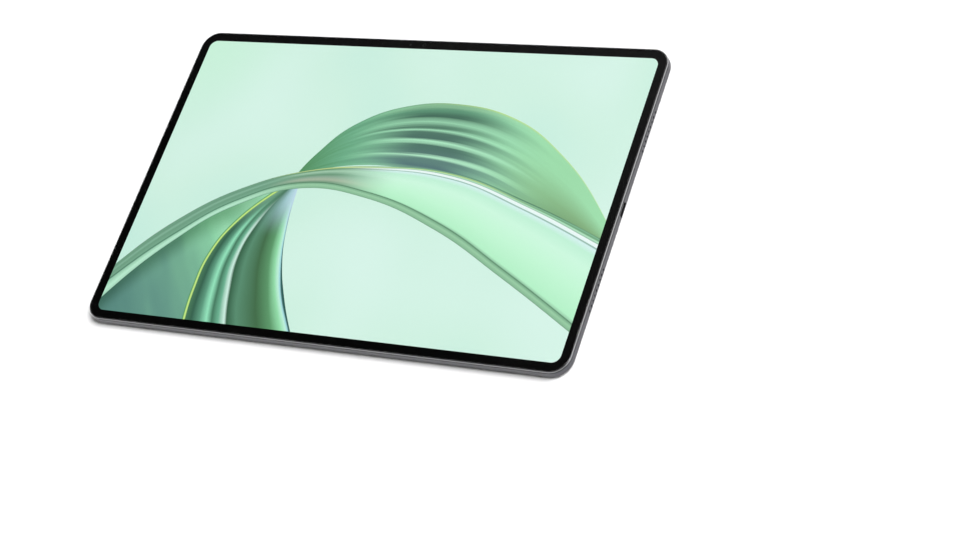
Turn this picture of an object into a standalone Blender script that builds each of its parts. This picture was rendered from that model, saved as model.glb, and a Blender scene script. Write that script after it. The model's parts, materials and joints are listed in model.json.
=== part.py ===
"""Slim 14-inch tablet computer, lying on its back with the screen up.

Frame: +X points to the short side with the charging port, +Y to the long side with the front camera
and the keys, +Z out of the screen. The origin is the centre of the footprint, on the surface that the
camera bump touches. Sizes are in millimetres and become metres where a mesh is made.
"""

import math

import bmesh
import bpy
from mathutils import Matrix, Vector

MM = 0.001

# Driving sizes of the body
BODY_LENGTH = 314.0          # along X
BODY_WIDTH = 200.7           # along Y
BODY_THICKNESS = 5.3         # back face to screen face
CORNER_RADIUS = 11.0
BUMP_PROUD = 1.7             # camera bump below the back face
GLASS_INSET = 0.9            # body outline to the edge of the cover glass
BLACK_BORDER = 5.2           # glass beyond the lit area of the display

# Shell
BACK_FLOOR = 0.7             # floor of the back cover
SHELF_WALL = 2.6             # wall below the shelf that carries the mid plate
UPPER_WALL = 1.6             # wall above that shelf
LIP_WALL = 0.35              # thin lip of the wall, outside the glass frame's neck
BACK_CHAMFER = 0.35
PARTING_GAP = 0.25           # dark line between the back cover and the glass frame
FRAME_LIP_HEIGHT = 0.5       # outer lip of the glass frame
FRAME_NECK_GAP = 0.25        # wall lip to the frame's neck
FRAME_CHAMFER = 0.35
FRAME_TOP_DROP = 0.07        # lip below the glass face
FRAME_FLANGE = 2.9           # the flange reaches this far in from the outline
FRAME_FLANGE_THICKNESS = 0.3

# Display stack
GLASS_THICKNESS = 0.6
GLASS_CHAMFER = 0.1
PANEL_THICKNESS = 0.45
PANEL_MARGIN = 0.7           # panel beyond the lit area
MID_PLATE_THICKNESS = 0.35
SPREADER_THICKNESS = 0.12

# Clearances
FIT_GAP = 0.3                # between pieces that fit into or rest on each other
LAYER_GAP = 0.1              # bonded flat layers, the thickness of the adhesive
EDGE_GAP = 0.1               # glass edge to frame lip

# Openings in the side walls
PORT_LINE = 1.95             # centre line of ports, holes and keys above the back face
SPEAKER_HOLE_DIAMETER = 1.5
SPEAKER_HOLE_PITCH = 3.1
SPEAKER_HOLE_COUNT = 9
SPEAKER_GROUP_INSET = 51.35  # group centre from the nearest long side
USB_MOUTH_WIDTH = 9.0
USB_MOUTH_HEIGHT = 2.75
USB_LIP_WALL = 1.2           # wall in front of the receptacle
USB_SHELL_WIDTH = 8.74
USB_SHELL_HEIGHT = 2.96
USB_SHELL_WALL = 0.2
USB_SHELL_DEPTH = 7.6
USB_TONGUE_WIDTH = 6.7
USB_TONGUE_THICKNESS = 0.7
USB_TONGUE_RECESS = 1.2      # tongue tip behind the shell's mouth
USB_BACK_WALL = 0.4          # closed end of the shell
MIC_HOLE_DIAMETER = 0.9
MIC_CORNER = 87.0            # microphone hole from the nearest short side

# Keys on the +Y side
KEY_HEIGHT = 1.8             # the slot stays clear of the cavity floor
KEY_PROUD = 0.35
KEY_END_FLAT = 0.1           # flat left between the rounded corners of a key's end
KEY_FLANGE_THICKNESS = 0.85
KEY_FLANGE_OVERLAP = 1.0     # flange beyond the slot at each end
POWER_KEY_LENGTH = 12.0
POWER_KEY_CORNER = 27.0      # key centre from the short side with the camera bump
VOLUME_KEY_LENGTH = 24.0
VOLUME_KEY_CORNER = 59.0
VOLUME_SWITCH_OFFSET = 8.0
KEY_TRAVEL = 0.3
KEY_OVERTRAVEL_GAP = 0.2
SWITCH_SIZE = (3.2, 1.8, 1.6)
BRACKET_THICKNESS = 0.4

# Rear camera bump
BUMP_WIDTH = 21.5
BUMP_MARGIN = 8.2            # bump to the nearest two body sides
BUMP_RIM_WIDTH = 1.3
BUMP_RIM_STEP = 0.5          # rim below the bump glass
BUMP_RIM_CHAMFER = 0.35
BUMP_LEDGE = 1.7             # ledge inside the rim that carries the bump glass
BUMP_GLASS_THICKNESS = 0.7
BUMP_GLASS_CHAMFER = 0.12
BUMP_SEAT_DEPTH = 0.3        # pocket in the back face that seats the rim
LENS_RING_MARGIN = 0.65      # rim's inner wall to the lens ring
LENS_RING_GAP = 5.4          # between the two lens rings
LENS_RING_WIDTH = 1.5
LENS_RING_RECESS = 0.15
LENS_RING_THICKNESS = 0.6
LENS_DOME_RISE = 0.45
LENS_EDGE_THICKNESS = 0.5
REAR_CAMERA_SIZE = (15.0, 14.0)
REAR_CAMERA_BARREL = 11.0

# Front camera and light sensor, in the black border
FRONT_CAMERA_X = 0.0
FRONT_CAMERA_BARREL = 2.8
FRONT_CAMERA_BODY = (6.0, 4.4, 1.9)
CAMERA_NOTCH_WALL = 1.4      # wall left outside the front camera
LIGHT_SENSOR_X = -9.5
LIGHT_SENSOR_SIZE = (2.4, 1.4, 0.35)

# Inner parts
BATTERY_CENTRE_GAP = 4.0
BATTERY_BOARD_SIZE = (70.0, 8.0, 0.7)
BOARD_THICKNESS = 0.6
BOARD_LIFT = 0.5             # board underside above the floor
MAIN_BOARD_SIZE = (130.0, 30.0)
CAMERA_TO_BOARD = 19.3       # camera bump to the near end of the main board
SHIELD_HEIGHT = 1.1
SHIELD_EDGE = 2.0            # board edge to a shield can
SHIELD_OFFSET = 26.0         # shield centre from the board's middle
PROCESSOR_SHIELD_LENGTH = 42.0
POWER_SHIELD_LENGTH = 34.0
USB_BOARD_SIZE = (17.0, 24.0)
FLEX_THICKNESS = 0.2
FLEX_WIDTH = 5.0
DISPLAY_FLEX_WIDTH = 20.0
DISPLAY_FLEX_CLEARANCE = 2.0 # main board to the display's ribbon
SPEAKER_LENGTH = 20.0        # along X
SPEAKER_END = 1.0            # speaker box beyond its row of holes
MESH_THICKNESS = 0.2
MESH_OVERLAP = 0.4           # mesh above and below the holes
MIC_SIZE = (3.6, 2.8, 1.0)
ANTENNA_SIZE = (46.0, 7.0, 0.5)
ANTENNA_CORNER = 34.0        # antenna centre from the nearest end of the cavity
SCREW_HEAD_DIAMETER = 2.6
SCREW_HEAD_HEIGHT = 0.5
SCREW_SHANK_DIAMETER = 1.2
BOSS_DIAMETER = 4.0
BOSS_EDGE = 0.5              # boss to the edges of its board

CORNER_SEGMENTS = 8
ROUND_SEGMENTS = 32
HOLE_SEGMENTS = 12
CUT_MARGIN = 1.0             # cutters run past the faces that they open

# Levels along Z
BACK_Z = BUMP_PROUD
FLOOR_Z = BACK_Z + BACK_FLOOR
SCREEN_Z = BACK_Z + BODY_THICKNESS
GLASS_Z = SCREEN_Z - GLASS_THICKNESS
PANEL_Z = GLASS_Z - LAYER_GAP - PANEL_THICKNESS
FRAME_FLANGE_Z = GLASS_Z - LAYER_GAP - FRAME_FLANGE_THICKNESS
REBATE_Z = FRAME_FLANGE_Z - FIT_GAP
FRAME_LIP_Z = SCREEN_Z - FRAME_TOP_DROP - FRAME_LIP_HEIGHT
WALL_TOP_Z = FRAME_LIP_Z - PARTING_GAP
MID_PLATE_Z = PANEL_Z - LAYER_GAP - MID_PLATE_THICKNESS
SPREADER_Z = MID_PLATE_Z - LAYER_GAP - SPREADER_THICKNESS
SHELF_Z = MID_PLATE_Z - FIT_GAP
CELL_Z = FLOOR_Z + LAYER_GAP
PORT_Z = BACK_Z + PORT_LINE
BOARD_Z = FLOOR_Z + BOARD_LIFT
BOARD_TOP_Z = BOARD_Z + BOARD_THICKNESS
FLEX_Z = BOARD_TOP_Z + LAYER_GAP

# Places that follow from the sizes above
SIDE_X = BODY_LENGTH / 2
SIDE_Y = BODY_WIDTH / 2
CAVITY_X = SIDE_X - SHELF_WALL
CAVITY_Y = SIDE_Y - SHELF_WALL
BORDER_Y = SIDE_Y - GLASS_INSET - BLACK_BORDER / 2
POWER_KEY_X = POWER_KEY_CORNER - SIDE_X
VOLUME_KEY_X = VOLUME_KEY_CORNER - SIDE_X
MIC_X = SIDE_X - MIC_CORNER
LENS_RING_DIAMETER = BUMP_WIDTH - 2 * (BUMP_RIM_WIDTH + LENS_RING_MARGIN)
LENS_OFFSET = (LENS_RING_DIAMETER + LENS_RING_GAP) / 2
BUMP_LENGTH = BUMP_WIDTH + 2 * LENS_OFFSET
BUMP_X = -SIDE_X + BUMP_MARGIN + BUMP_LENGTH / 2
BUMP_Y = SIDE_Y - BUMP_MARGIN - BUMP_WIDTH / 2
KEY_FLANGE_Y = CAVITY_Y - FIT_GAP - KEY_FLANGE_THICKNESS / 2
SWITCH_Y = KEY_FLANGE_Y - KEY_FLANGE_THICKNESS / 2 - KEY_TRAVEL - KEY_OVERTRAVEL_GAP - SWITCH_SIZE[1] / 2
BRACKET_Y = SWITCH_Y - (SWITCH_SIZE[1] + BRACKET_THICKNESS) / 2 - FIT_GAP
EDGE_ROOM = ANTENNA_SIZE[1] + 2 * FIT_GAP    # strip along the long sides for antennas, keys and microphones
MAIN_BOARD_X = BUMP_X + BUMP_LENGTH / 2 + CAMERA_TO_BOARD + MAIN_BOARD_SIZE[0] / 2
MAIN_BOARD_Y = CAVITY_Y - EDGE_ROOM - MAIN_BOARD_SIZE[1] / 2
DISPLAY_FLEX_Y = MAIN_BOARD_Y - MAIN_BOARD_SIZE[1] / 2 - DISPLAY_FLEX_CLEARANCE
BATTERY_BOARD_Y = DISPLAY_FLEX_Y - FLEX_THICKNESS / 2 - FIT_GAP - BATTERY_BOARD_SIZE[1] / 2
BATTERY_LOW_Y = EDGE_ROOM - CAVITY_Y
BATTERY_HIGH_Y = BATTERY_BOARD_Y - BATTERY_BOARD_SIZE[1] / 2 - FIT_GAP

UPRIGHT = Matrix.Identity(3)
ALONG_X = Matrix(((0, 0, 1), (1, 0, 0), (0, 1, 0)))     # local Z runs along X, local Y points up
ALONG_Y = Matrix.Rotation(math.radians(90), 3, "X")     # local Z runs along -Y, local Y points up


# ---------------------------------------------------------------- scene and materials


def clear_scene():
    for thing in list(bpy.data.objects):
        bpy.data.objects.remove(thing, do_unlink=True)


def new_collection(name):
    collection = bpy.data.collections.new(name)
    bpy.context.scene.collection.children.link(collection)
    return collection


def finish(name, colour, roughness, metallic=0.0):
    """Principled material with one colour, roughness and metallic value."""
    material = bpy.data.materials.new(name)
    material.use_nodes = True
    shader = material.node_tree.nodes["Principled BSDF"]
    shader.inputs["Base Color"].default_value = (*colour, 1.0)
    shader.inputs["Roughness"].default_value = roughness
    shader.inputs["Metallic"].default_value = metallic
    return material


# ---------------------------------------------------------------- modelling helpers


def place(mesh, name, centre, turn=UPRIGHT):
    """Object for a finished mesh, at its centre and turned as given."""
    data = bpy.data.meshes.new(name)
    bmesh.ops.recalc_face_normals(mesh, faces=mesh.faces)
    mesh.to_mesh(data)
    mesh.free()
    thing = bpy.data.objects.new(name, data)
    thing.matrix_world = Matrix.Translation(Vector(centre) * MM) @ turn.to_4x4()
    return thing


def rounded_block(size, radius, chamfer_low=0.0, chamfer_high=0.0):
    """Block around the origin with its four local-Z edges rounded and its end edges chamfered."""
    mesh = bmesh.new()
    bmesh.ops.create_cube(mesh, size=1.0)
    bmesh.ops.scale(mesh, vec=Vector(size) * MM, verts=mesh.verts)
    if radius > 0:
        upright = [e for e in mesh.edges if abs(e.verts[0].co.z - e.verts[1].co.z) > size[2] * MM / 2]
        bmesh.ops.bevel(
            mesh, geom=upright, offset=radius * MM, segments=CORNER_SEGMENTS, profile=0.5, affect="EDGES"
        )
        bmesh.ops.remove_doubles(mesh, verts=mesh.verts, dist=1e-6)
    for chamfer, end in ((chamfer_low, -1), (chamfer_high, 1)):
        if chamfer > 0:
            level = end * size[2] * MM / 2
            rim = [e for e in mesh.edges if all(abs(v.co.z - level) < 1e-7 for v in e.verts)]
            bmesh.ops.bevel(mesh, geom=rim, offset=chamfer * MM, segments=1, profile=0.5, affect="EDGES")
    return mesh


def round_bar(diameter, length, segments=ROUND_SEGMENTS):
    """Cylinder around the origin, along local Z."""
    mesh = bmesh.new()
    bmesh.ops.create_cone(
        mesh,
        cap_ends=True,
        segments=segments,
        radius1=diameter * MM / 2,
        radius2=diameter * MM / 2,
        depth=length * MM,
    )
    return mesh


class Bench:
    """Places pieces and cutters in their collections and applies the cuts and joins."""

    def __init__(self):
        self.pieces = new_collection("tablet_computer")
        self.tools = new_collection("cutters")
        self.root = bpy.data.objects.new("tablet", None)
        self.pieces.objects.link(self.root)

    def piece(self, name, mesh, centre, material, turn=UPRIGHT):
        thing = place(mesh, name, centre, turn)
        thing.data.materials.append(material)
        thing.data.shade_smooth()
        thing.data.set_sharp_from_angle(angle=math.radians(30))
        self.pieces.objects.link(thing)
        thing.parent = self.root
        return thing

    def tool(self, name, mesh, centre, turn=UPRIGHT):
        thing = place(mesh, name, centre, turn)
        thing.hide_render = True
        thing.display_type = "WIRE"
        self.tools.objects.link(thing)
        return thing

    def combine(self, piece, tool, operation="DIFFERENCE"):
        step = piece.modifiers.new(tool.name, "BOOLEAN")
        step.operation = operation
        step.solver = "EXACT"
        step.object = tool

    def cut(self, piece, name, mesh, centre, turn=UPRIGHT):
        self.combine(piece, self.tool(name, mesh, centre, turn))

    def join(self, piece, name, mesh, centre, turn=UPRIGHT):
        self.combine(piece, self.tool(name, mesh, centre, turn), "UNION")


def outline_block(inset, low, high, **chamfers):
    """Block with the body's outline, drawn in by an inset, between two levels. Returns mesh, centre."""
    size = (BODY_LENGTH - 2 * inset, BODY_WIDTH - 2 * inset, high - low)
    return rounded_block(size, CORNER_RADIUS - inset, **chamfers), (0, 0, (low + high) / 2)


def stadium_block(length, width, low, high, centre, **chamfers):
    """Long-hole shape between two levels. Returns mesh, centre."""
    return rounded_block((length, width, high - low), width / 2, **chamfers), (*centre, (low + high) / 2)


def block(size, x, y, low):
    """Plain block standing on a level. Returns mesh, centre."""
    return rounded_block(size, 0), (x, y, low + size[2] / 2)


def side_slot(length, height, depth):
    """Slot with round ends, for a side wall: local X along the wall, local Y up, local Z through it."""
    return rounded_block((length, height, depth), height / 2)


# ---------------------------------------------------------------- places shared by several pieces


def key_places():
    """Name, centre along X and length of each key."""
    yield "power_key", POWER_KEY_X, POWER_KEY_LENGTH
    yield "volume_key", VOLUME_KEY_X, VOLUME_KEY_LENGTH


def speaker_places():
    """Name ending, side of the body along X and centre along Y of each speaker."""
    for end, side in (("left", -1), ("right", 1)):
        for level, along in (("upper", 1), ("lower", -1)):
            yield f"{end}_{level}", side, along * (SIDE_Y - SPEAKER_GROUP_INSET)


def screw_places():
    """Name ending and centre of each board screw."""
    inset = BOSS_DIAMETER / 2 + BOSS_EDGE
    for along, label in ((-1, "left"), (1, "right")):
        for across, level in ((-1, "lower"), (1, "upper")):
            x = MAIN_BOARD_X + along * (MAIN_BOARD_SIZE[0] / 2 - inset)
            y = MAIN_BOARD_Y + across * (MAIN_BOARD_SIZE[1] / 2 - inset)
            yield f"board_{label}_{level}", x, y
    for across, level in ((-1, "lower"), (1, "upper")):
        yield f"port_{level}", usb_board_x(), across * (USB_BOARD_SIZE[1] / 2 - inset)


def usb_mouth_x():
    """Front end of the receptacle's shell."""
    return SIDE_X - USB_LIP_WALL - FIT_GAP


def usb_board_x():
    """Centre of the port board, behind the receptacle."""
    return usb_mouth_x() - USB_SHELL_DEPTH - FIT_GAP - USB_BOARD_SIZE[0] / 2


def speaker_face_x():
    """Side of the speaker boxes that faces the batteries."""
    return CAVITY_X - MESH_THICKNESS - 2 * FIT_GAP - SPEAKER_LENGTH


def battery_reach():
    """Outer end of each battery: clear of the port board, and of the ribbon beside the speakers."""
    beside_ribbon = speaker_face_x() - FLEX_WIDTH - 2 * FIT_GAP
    beside_board = usb_board_x() - USB_BOARD_SIZE[0] / 2 - FIT_GAP
    return min(beside_ribbon, beside_board)


def lens_places():
    """Centre along X of the lens nearer the corner and of the second one."""
    return BUMP_X - LENS_OFFSET, BUMP_X + LENS_OFFSET


# ---------------------------------------------------------------- shell


def build_back_cover(bench, material):
    """Tray milled from one plate, with every opening of the side walls and of the back."""
    tray = outline_block(0, BACK_Z, WALL_TOP_Z, chamfer_low=BACK_CHAMFER)
    cover = bench.piece("back_cover", *tray, material)
    over = WALL_TOP_Z + CUT_MARGIN
    bench.cut(cover, "cavity", *outline_block(SHELF_WALL, FLOOR_Z, over))
    bench.cut(cover, "plate_shelf", *outline_block(UPPER_WALL, SHELF_Z, over))
    bench.cut(cover, "frame_rebate", *outline_block(LIP_WALL, REBATE_Z, over))
    cut_camera_seat(bench, cover)
    cut_port(bench, cover)
    cut_speaker_holes(bench, cover)
    cut_key_slots(bench, cover)
    cut_front_camera_notch(bench, cover)
    cut_microphone_holes(bench, cover)
    add_bosses(bench, cover)


def cut_camera_seat(bench, cover):
    """Shallow seat for the bump's rim, with a window for the cameras inside it."""
    centre = (BUMP_X, BUMP_Y)
    seat = 2 * FIT_GAP
    window = 2 * (BUMP_RIM_WIDTH + BUMP_LEDGE)
    bench.cut(cover, "bump_seat", *stadium_block(
        BUMP_LENGTH + seat, BUMP_WIDTH + seat, BACK_Z - CUT_MARGIN, BACK_Z + BUMP_SEAT_DEPTH, centre))
    bench.cut(cover, "bump_window", *stadium_block(
        BUMP_LENGTH - window, BUMP_WIDTH - window, BACK_Z - CUT_MARGIN, FLOOR_Z + CUT_MARGIN, centre))


def cut_port(bench, cover):
    """Mouth for the plug, and behind it the pocket that takes the receptacle."""
    depth = USB_LIP_WALL + 2 * CUT_MARGIN
    bench.cut(cover, "port_mouth", side_slot(USB_MOUTH_WIDTH, USB_MOUTH_HEIGHT, depth),
              (SIDE_X - USB_LIP_WALL / 2, 0, PORT_Z), ALONG_X)
    length = usb_mouth_x() + FIT_GAP - (usb_board_x() + USB_BOARD_SIZE[0] / 2)
    low = PORT_Z - USB_SHELL_HEIGHT / 2 - LAYER_GAP
    size = (length, USB_SHELL_WIDTH + 2 * FIT_GAP, SHELF_Z + CUT_MARGIN - low)
    bench.cut(cover, "port_pocket", *block(size, usb_mouth_x() + FIT_GAP - length / 2, 0, low))


def cut_speaker_holes(bench, cover):
    """Row of round holes through the wall in front of each speaker."""
    depth = SHELF_WALL + 2 * CUT_MARGIN
    for ending, side, place_y in speaker_places():
        for index in range(SPEAKER_HOLE_COUNT):
            offset = (index - (SPEAKER_HOLE_COUNT - 1) / 2) * SPEAKER_HOLE_PITCH
            centre = (side * (SIDE_X - SHELF_WALL / 2), place_y + offset, PORT_Z)
            hole = round_bar(SPEAKER_HOLE_DIAMETER, depth, HOLE_SEGMENTS)
            bench.cut(cover, f"hole_{ending}_{index}", hole, centre, ALONG_X)


def cut_key_slots(bench, cover):
    """Slot with round ends for each key."""
    for name, x, length in key_places():
        slot = side_slot(length + 2 * FIT_GAP, KEY_HEIGHT + 2 * FIT_GAP, SHELF_WALL + 2 * CUT_MARGIN)
        bench.cut(cover, f"{name}_slot", slot, (x, SIDE_Y - SHELF_WALL / 2, PORT_Z), ALONG_Y)


def cut_front_camera_notch(bench, cover):
    """Notch in the shelf that lets the front camera stand close to the wall."""
    low = MID_PLATE_Z - FRONT_CAMERA_BODY[2] - 2 * FIT_GAP
    depth = SHELF_WALL - CAMERA_NOTCH_WALL + CUT_MARGIN
    size = (FRONT_CAMERA_BODY[0] + 2 * FIT_GAP, depth, SHELF_Z + FIT_GAP - low)
    notch = block(size, FRONT_CAMERA_X, SIDE_Y - CAMERA_NOTCH_WALL - depth / 2, low)
    bench.cut(cover, "front_camera_notch", *notch)


def cut_microphone_holes(bench, cover):
    """Small hole in front of each microphone."""
    for name, side in (("left", -1), ("right", 1)):
        hole = round_bar(MIC_HOLE_DIAMETER, SHELF_WALL + 2 * CUT_MARGIN, HOLE_SEGMENTS)
        bench.cut(cover, f"mic_hole_{name}", hole, (side * MIC_X, SIDE_Y - SHELF_WALL / 2, PORT_Z), ALONG_Y)


def add_bosses(bench, cover):
    """Low bosses under the boards, each with a blind hole for its screw."""
    boss_top = BOARD_Z - FIT_GAP
    height = boss_top - FLOOR_Z + BACK_FLOOR / 2
    hole_low = BACK_Z + FIT_GAP
    depth = boss_top + CUT_MARGIN - hole_low
    for ending, x, y in screw_places():
        boss = round_bar(BOSS_DIAMETER, height, HOLE_SEGMENTS)
        bench.join(cover, f"boss_{ending}", boss, (x, y, boss_top - height / 2))
        hole = round_bar(SCREW_SHANK_DIAMETER + 2 * FIT_GAP, depth, HOLE_SEGMENTS)
        bench.cut(cover, f"boss_hole_{ending}", hole, (x, y, hole_low + depth / 2))


def build_glass_frame(bench, material):
    """Ring around the glass: a chamfered lip outside, a thin neck and a flange under the glass edge."""
    lip_top = FRAME_LIP_Z + FRAME_LIP_HEIGHT
    lip = outline_block(0, FRAME_LIP_Z, lip_top, chamfer_high=FRAME_CHAMFER)
    frame = bench.piece("glass_frame", *lip, material)
    bench.join(frame, "frame_flange", *outline_block(
        LIP_WALL + FRAME_NECK_GAP, FRAME_FLANGE_Z, FRAME_LIP_Z + FRAME_LIP_HEIGHT / 4))
    bench.cut(frame, "frame_glass_seat", *outline_block(
        GLASS_INSET - EDGE_GAP, FRAME_FLANGE_Z + FRAME_FLANGE_THICKNESS, lip_top + CUT_MARGIN))
    bench.cut(frame, "frame_window", *outline_block(
        FRAME_FLANGE, FRAME_FLANGE_Z - CUT_MARGIN, lip_top + CUT_MARGIN))
    notch = round_bar(FRONT_CAMERA_BARREL + 2 * FIT_GAP, 3 * CUT_MARGIN, HOLE_SEGMENTS)
    bench.cut(frame, "frame_camera_notch", notch, (FRONT_CAMERA_X, BORDER_Y, FRAME_FLANGE_Z))
    size = (LIGHT_SENSOR_SIZE[0] + 2 * FIT_GAP, LIGHT_SENSOR_SIZE[1] + 2 * FIT_GAP, 2 * CUT_MARGIN)
    notch = block(size, LIGHT_SENSOR_X, BORDER_Y, FRAME_FLANGE_Z - CUT_MARGIN)
    bench.cut(frame, "frame_sensor_notch", *notch)


def build_display(bench, finishes):
    """Cover glass, panel bonded under it, the plate that stiffens it and the sheet that spreads heat."""
    glass = outline_block(GLASS_INSET, GLASS_Z, SCREEN_Z, chamfer_high=GLASS_CHAMFER)
    bench.piece("cover_glass", *glass, finishes["glass"])
    panel_inset = GLASS_INSET + BLACK_BORDER - PANEL_MARGIN
    panel = outline_block(panel_inset, PANEL_Z, PANEL_Z + PANEL_THICKNESS)
    bench.piece("display_panel", *panel, finishes["display"])
    sheet = outline_block(UPPER_WALL + FIT_GAP, MID_PLATE_Z, MID_PLATE_Z + MID_PLATE_THICKNESS)
    plate = bench.piece("mid_plate", *sheet, finishes["steel"])
    hole = round_bar(FRONT_CAMERA_BARREL + 2 * FIT_GAP, 2 * CUT_MARGIN, HOLE_SEGMENTS)
    bench.cut(plate, "plate_camera_hole", hole, (FRONT_CAMERA_X, BORDER_Y, MID_PLATE_Z))
    size = (DISPLAY_FLEX_WIDTH + 2 * FIT_GAP, FLEX_THICKNESS + 2 * FIT_GAP, 2 * CUT_MARGIN)
    slot = block(size, MAIN_BOARD_X, DISPLAY_FLEX_Y, MID_PLATE_Z - CUT_MARGIN)
    bench.cut(plate, "plate_flex_slot", *slot)
    size = (2 * battery_reach(), BATTERY_HIGH_Y - BATTERY_LOW_Y, SPREADER_THICKNESS)
    spreader = block(size, 0, (BATTERY_LOW_Y + BATTERY_HIGH_Y) / 2, SPREADER_Z)
    bench.piece("heat_spreader", *spreader, finishes["graphite"])


# ---------------------------------------------------------------- keys


def build_keys(bench, finishes):
    """Power key that slides, volume key that rocks about its middle, and the switches behind them."""
    depth = SIDE_Y + KEY_PROUD - KEY_FLANGE_Y
    corner = (KEY_HEIGHT - KEY_END_FLAT) / 2
    for name, x, length in key_places():
        flange = (length + 2 * KEY_FLANGE_OVERLAP, KEY_FLANGE_THICKNESS, KEY_HEIGHT)
        key = bench.piece(name, rounded_block(flange, 0), (x, KEY_FLANGE_Y, PORT_Z), finishes["body"])
        head = rounded_block((length, KEY_HEIGHT, depth), corner, chamfer_low=KEY_PROUD / 2)
        bench.join(key, f"{name}_head", head, (x, KEY_FLANGE_Y + depth / 2, PORT_Z), ALONG_Y)
    switches = (
        ("power_switch", POWER_KEY_X),
        ("volume_down_switch", VOLUME_KEY_X - VOLUME_SWITCH_OFFSET),
        ("volume_up_switch", VOLUME_KEY_X + VOLUME_SWITCH_OFFSET),
    )
    for name, x in switches:
        bench.piece(name, rounded_block(SWITCH_SIZE, 0), (x, SWITCH_Y, PORT_Z), finishes["black_plastic"])
    left = POWER_KEY_X - POWER_KEY_LENGTH / 2
    right = VOLUME_KEY_X + VOLUME_KEY_LENGTH / 2
    size = (right - left, BRACKET_THICKNESS, KEY_HEIGHT)
    centre = ((left + right) / 2, BRACKET_Y, PORT_Z)
    bench.piece("key_bracket", rounded_block(size, 0), centre, finishes["steel"])


# ---------------------------------------------------------------- rear camera


def build_camera_bump(bench, finishes):
    """Long rim and glass that stand proud of the back, with two ringed lens windows and the camera."""
    centre = (BUMP_X, BUMP_Y)
    rim_back = BACK_Z + BUMP_SEAT_DEPTH - FIT_GAP + LAYER_GAP
    ledge_z = BUMP_GLASS_THICKNESS + FIT_GAP
    band = stadium_block(
        BUMP_LENGTH, BUMP_WIDTH, BUMP_RIM_STEP, rim_back, centre, chamfer_low=BUMP_RIM_CHAMFER)
    rim = bench.piece("camera_bump_rim", *band, finishes["black_metal"])
    inner = 2 * BUMP_RIM_WIDTH
    bench.cut(rim, "rim_glass_seat", *stadium_block(
        BUMP_LENGTH - inner, BUMP_WIDTH - inner, BUMP_RIM_STEP - CUT_MARGIN, ledge_z, centre))
    bench.cut(rim, "rim_window", *stadium_block(
        BUMP_LENGTH - inner - 2 * BUMP_LEDGE, BUMP_WIDTH - inner - 2 * BUMP_LEDGE,
        BUMP_RIM_STEP - CUT_MARGIN, rim_back + CUT_MARGIN, centre))
    gap = 2 * (BUMP_RIM_WIDTH + EDGE_GAP)
    size = (BUMP_LENGTH - gap, BUMP_WIDTH - gap)
    pane = stadium_block(*size, 0, BUMP_GLASS_THICKNESS, centre, chamfer_low=BUMP_GLASS_CHAMFER)
    plate = bench.piece("camera_bump_glass", *pane, finishes["dark_glass"])
    for name, x in zip(("main", "second"), lens_places()):
        hole = round_bar(LENS_RING_DIAMETER + 2 * EDGE_GAP, 3 * CUT_MARGIN)
        bench.cut(plate, f"{name}_lens_hole", hole, (x, BUMP_Y, 0))
        build_lens(bench, name, x, finishes)
    build_rear_camera(bench, finishes)


def build_lens(bench, name, x, finishes):
    """Ring set into the bump glass, with its own window: domed on the main lens, flat on the other."""
    ring_low = LENS_RING_RECESS
    centre = (x, BUMP_Y, ring_low + LENS_RING_THICKNESS / 2)
    band = round_bar(LENS_RING_DIAMETER, LENS_RING_THICKNESS)
    ring = bench.piece(f"{name}_lens_ring", band, centre, finishes["black_metal"])
    bore = LENS_RING_DIAMETER - 2 * LENS_RING_WIDTH
    bench.cut(ring, f"{name}_ring_bore", round_bar(bore, LENS_RING_THICKNESS + 2 * CUT_MARGIN), centre)
    diameter = bore - 2 * EDGE_GAP
    if name == "main":
        dome = domed_disc(diameter, LENS_EDGE_THICKNESS, LENS_DOME_RISE)
        bench.piece("main_lens", dome, (x, BUMP_Y, ring_low + LENS_DOME_RISE), finishes["dark_glass"])
    else:
        low = ring_low + LENS_DOME_RISE / 2
        bench.piece("second_lens", round_bar(diameter, LENS_EDGE_THICKNESS),
                    (x, BUMP_Y, low + LENS_EDGE_THICKNESS / 2), finishes["dark_glass"])


def domed_disc(diameter, edge, rise):
    """Disc whose lower face bulges down by the rise. The origin is at the dome's rim."""
    mesh = bmesh.new()
    radius = diameter / 2
    sphere = (radius**2 + rise**2) / (2 * rise)
    steps = 4
    reach = math.asin(radius / sphere)
    profile = [Vector((0, 0, edge)), Vector((radius, 0, edge))]
    for index in range(steps + 1):
        angle = reach * (1 - index / steps)
        profile.append(Vector((sphere * math.sin(angle), 0, sphere * (math.cos(reach) - math.cos(angle)))))
    verts = [mesh.verts.new(point * MM) for point in profile]
    edges = [mesh.edges.new(pair) for pair in zip(verts, verts[1:])]
    bmesh.ops.spin(mesh, geom=verts + edges, cent=(0, 0, 0), axis=(0, 0, 1), angle=math.tau,
                   steps=ROUND_SEGMENTS, use_merge=True, use_duplicate=False)
    bmesh.ops.remove_doubles(mesh, verts=mesh.verts, dist=1e-6)
    return mesh


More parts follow.
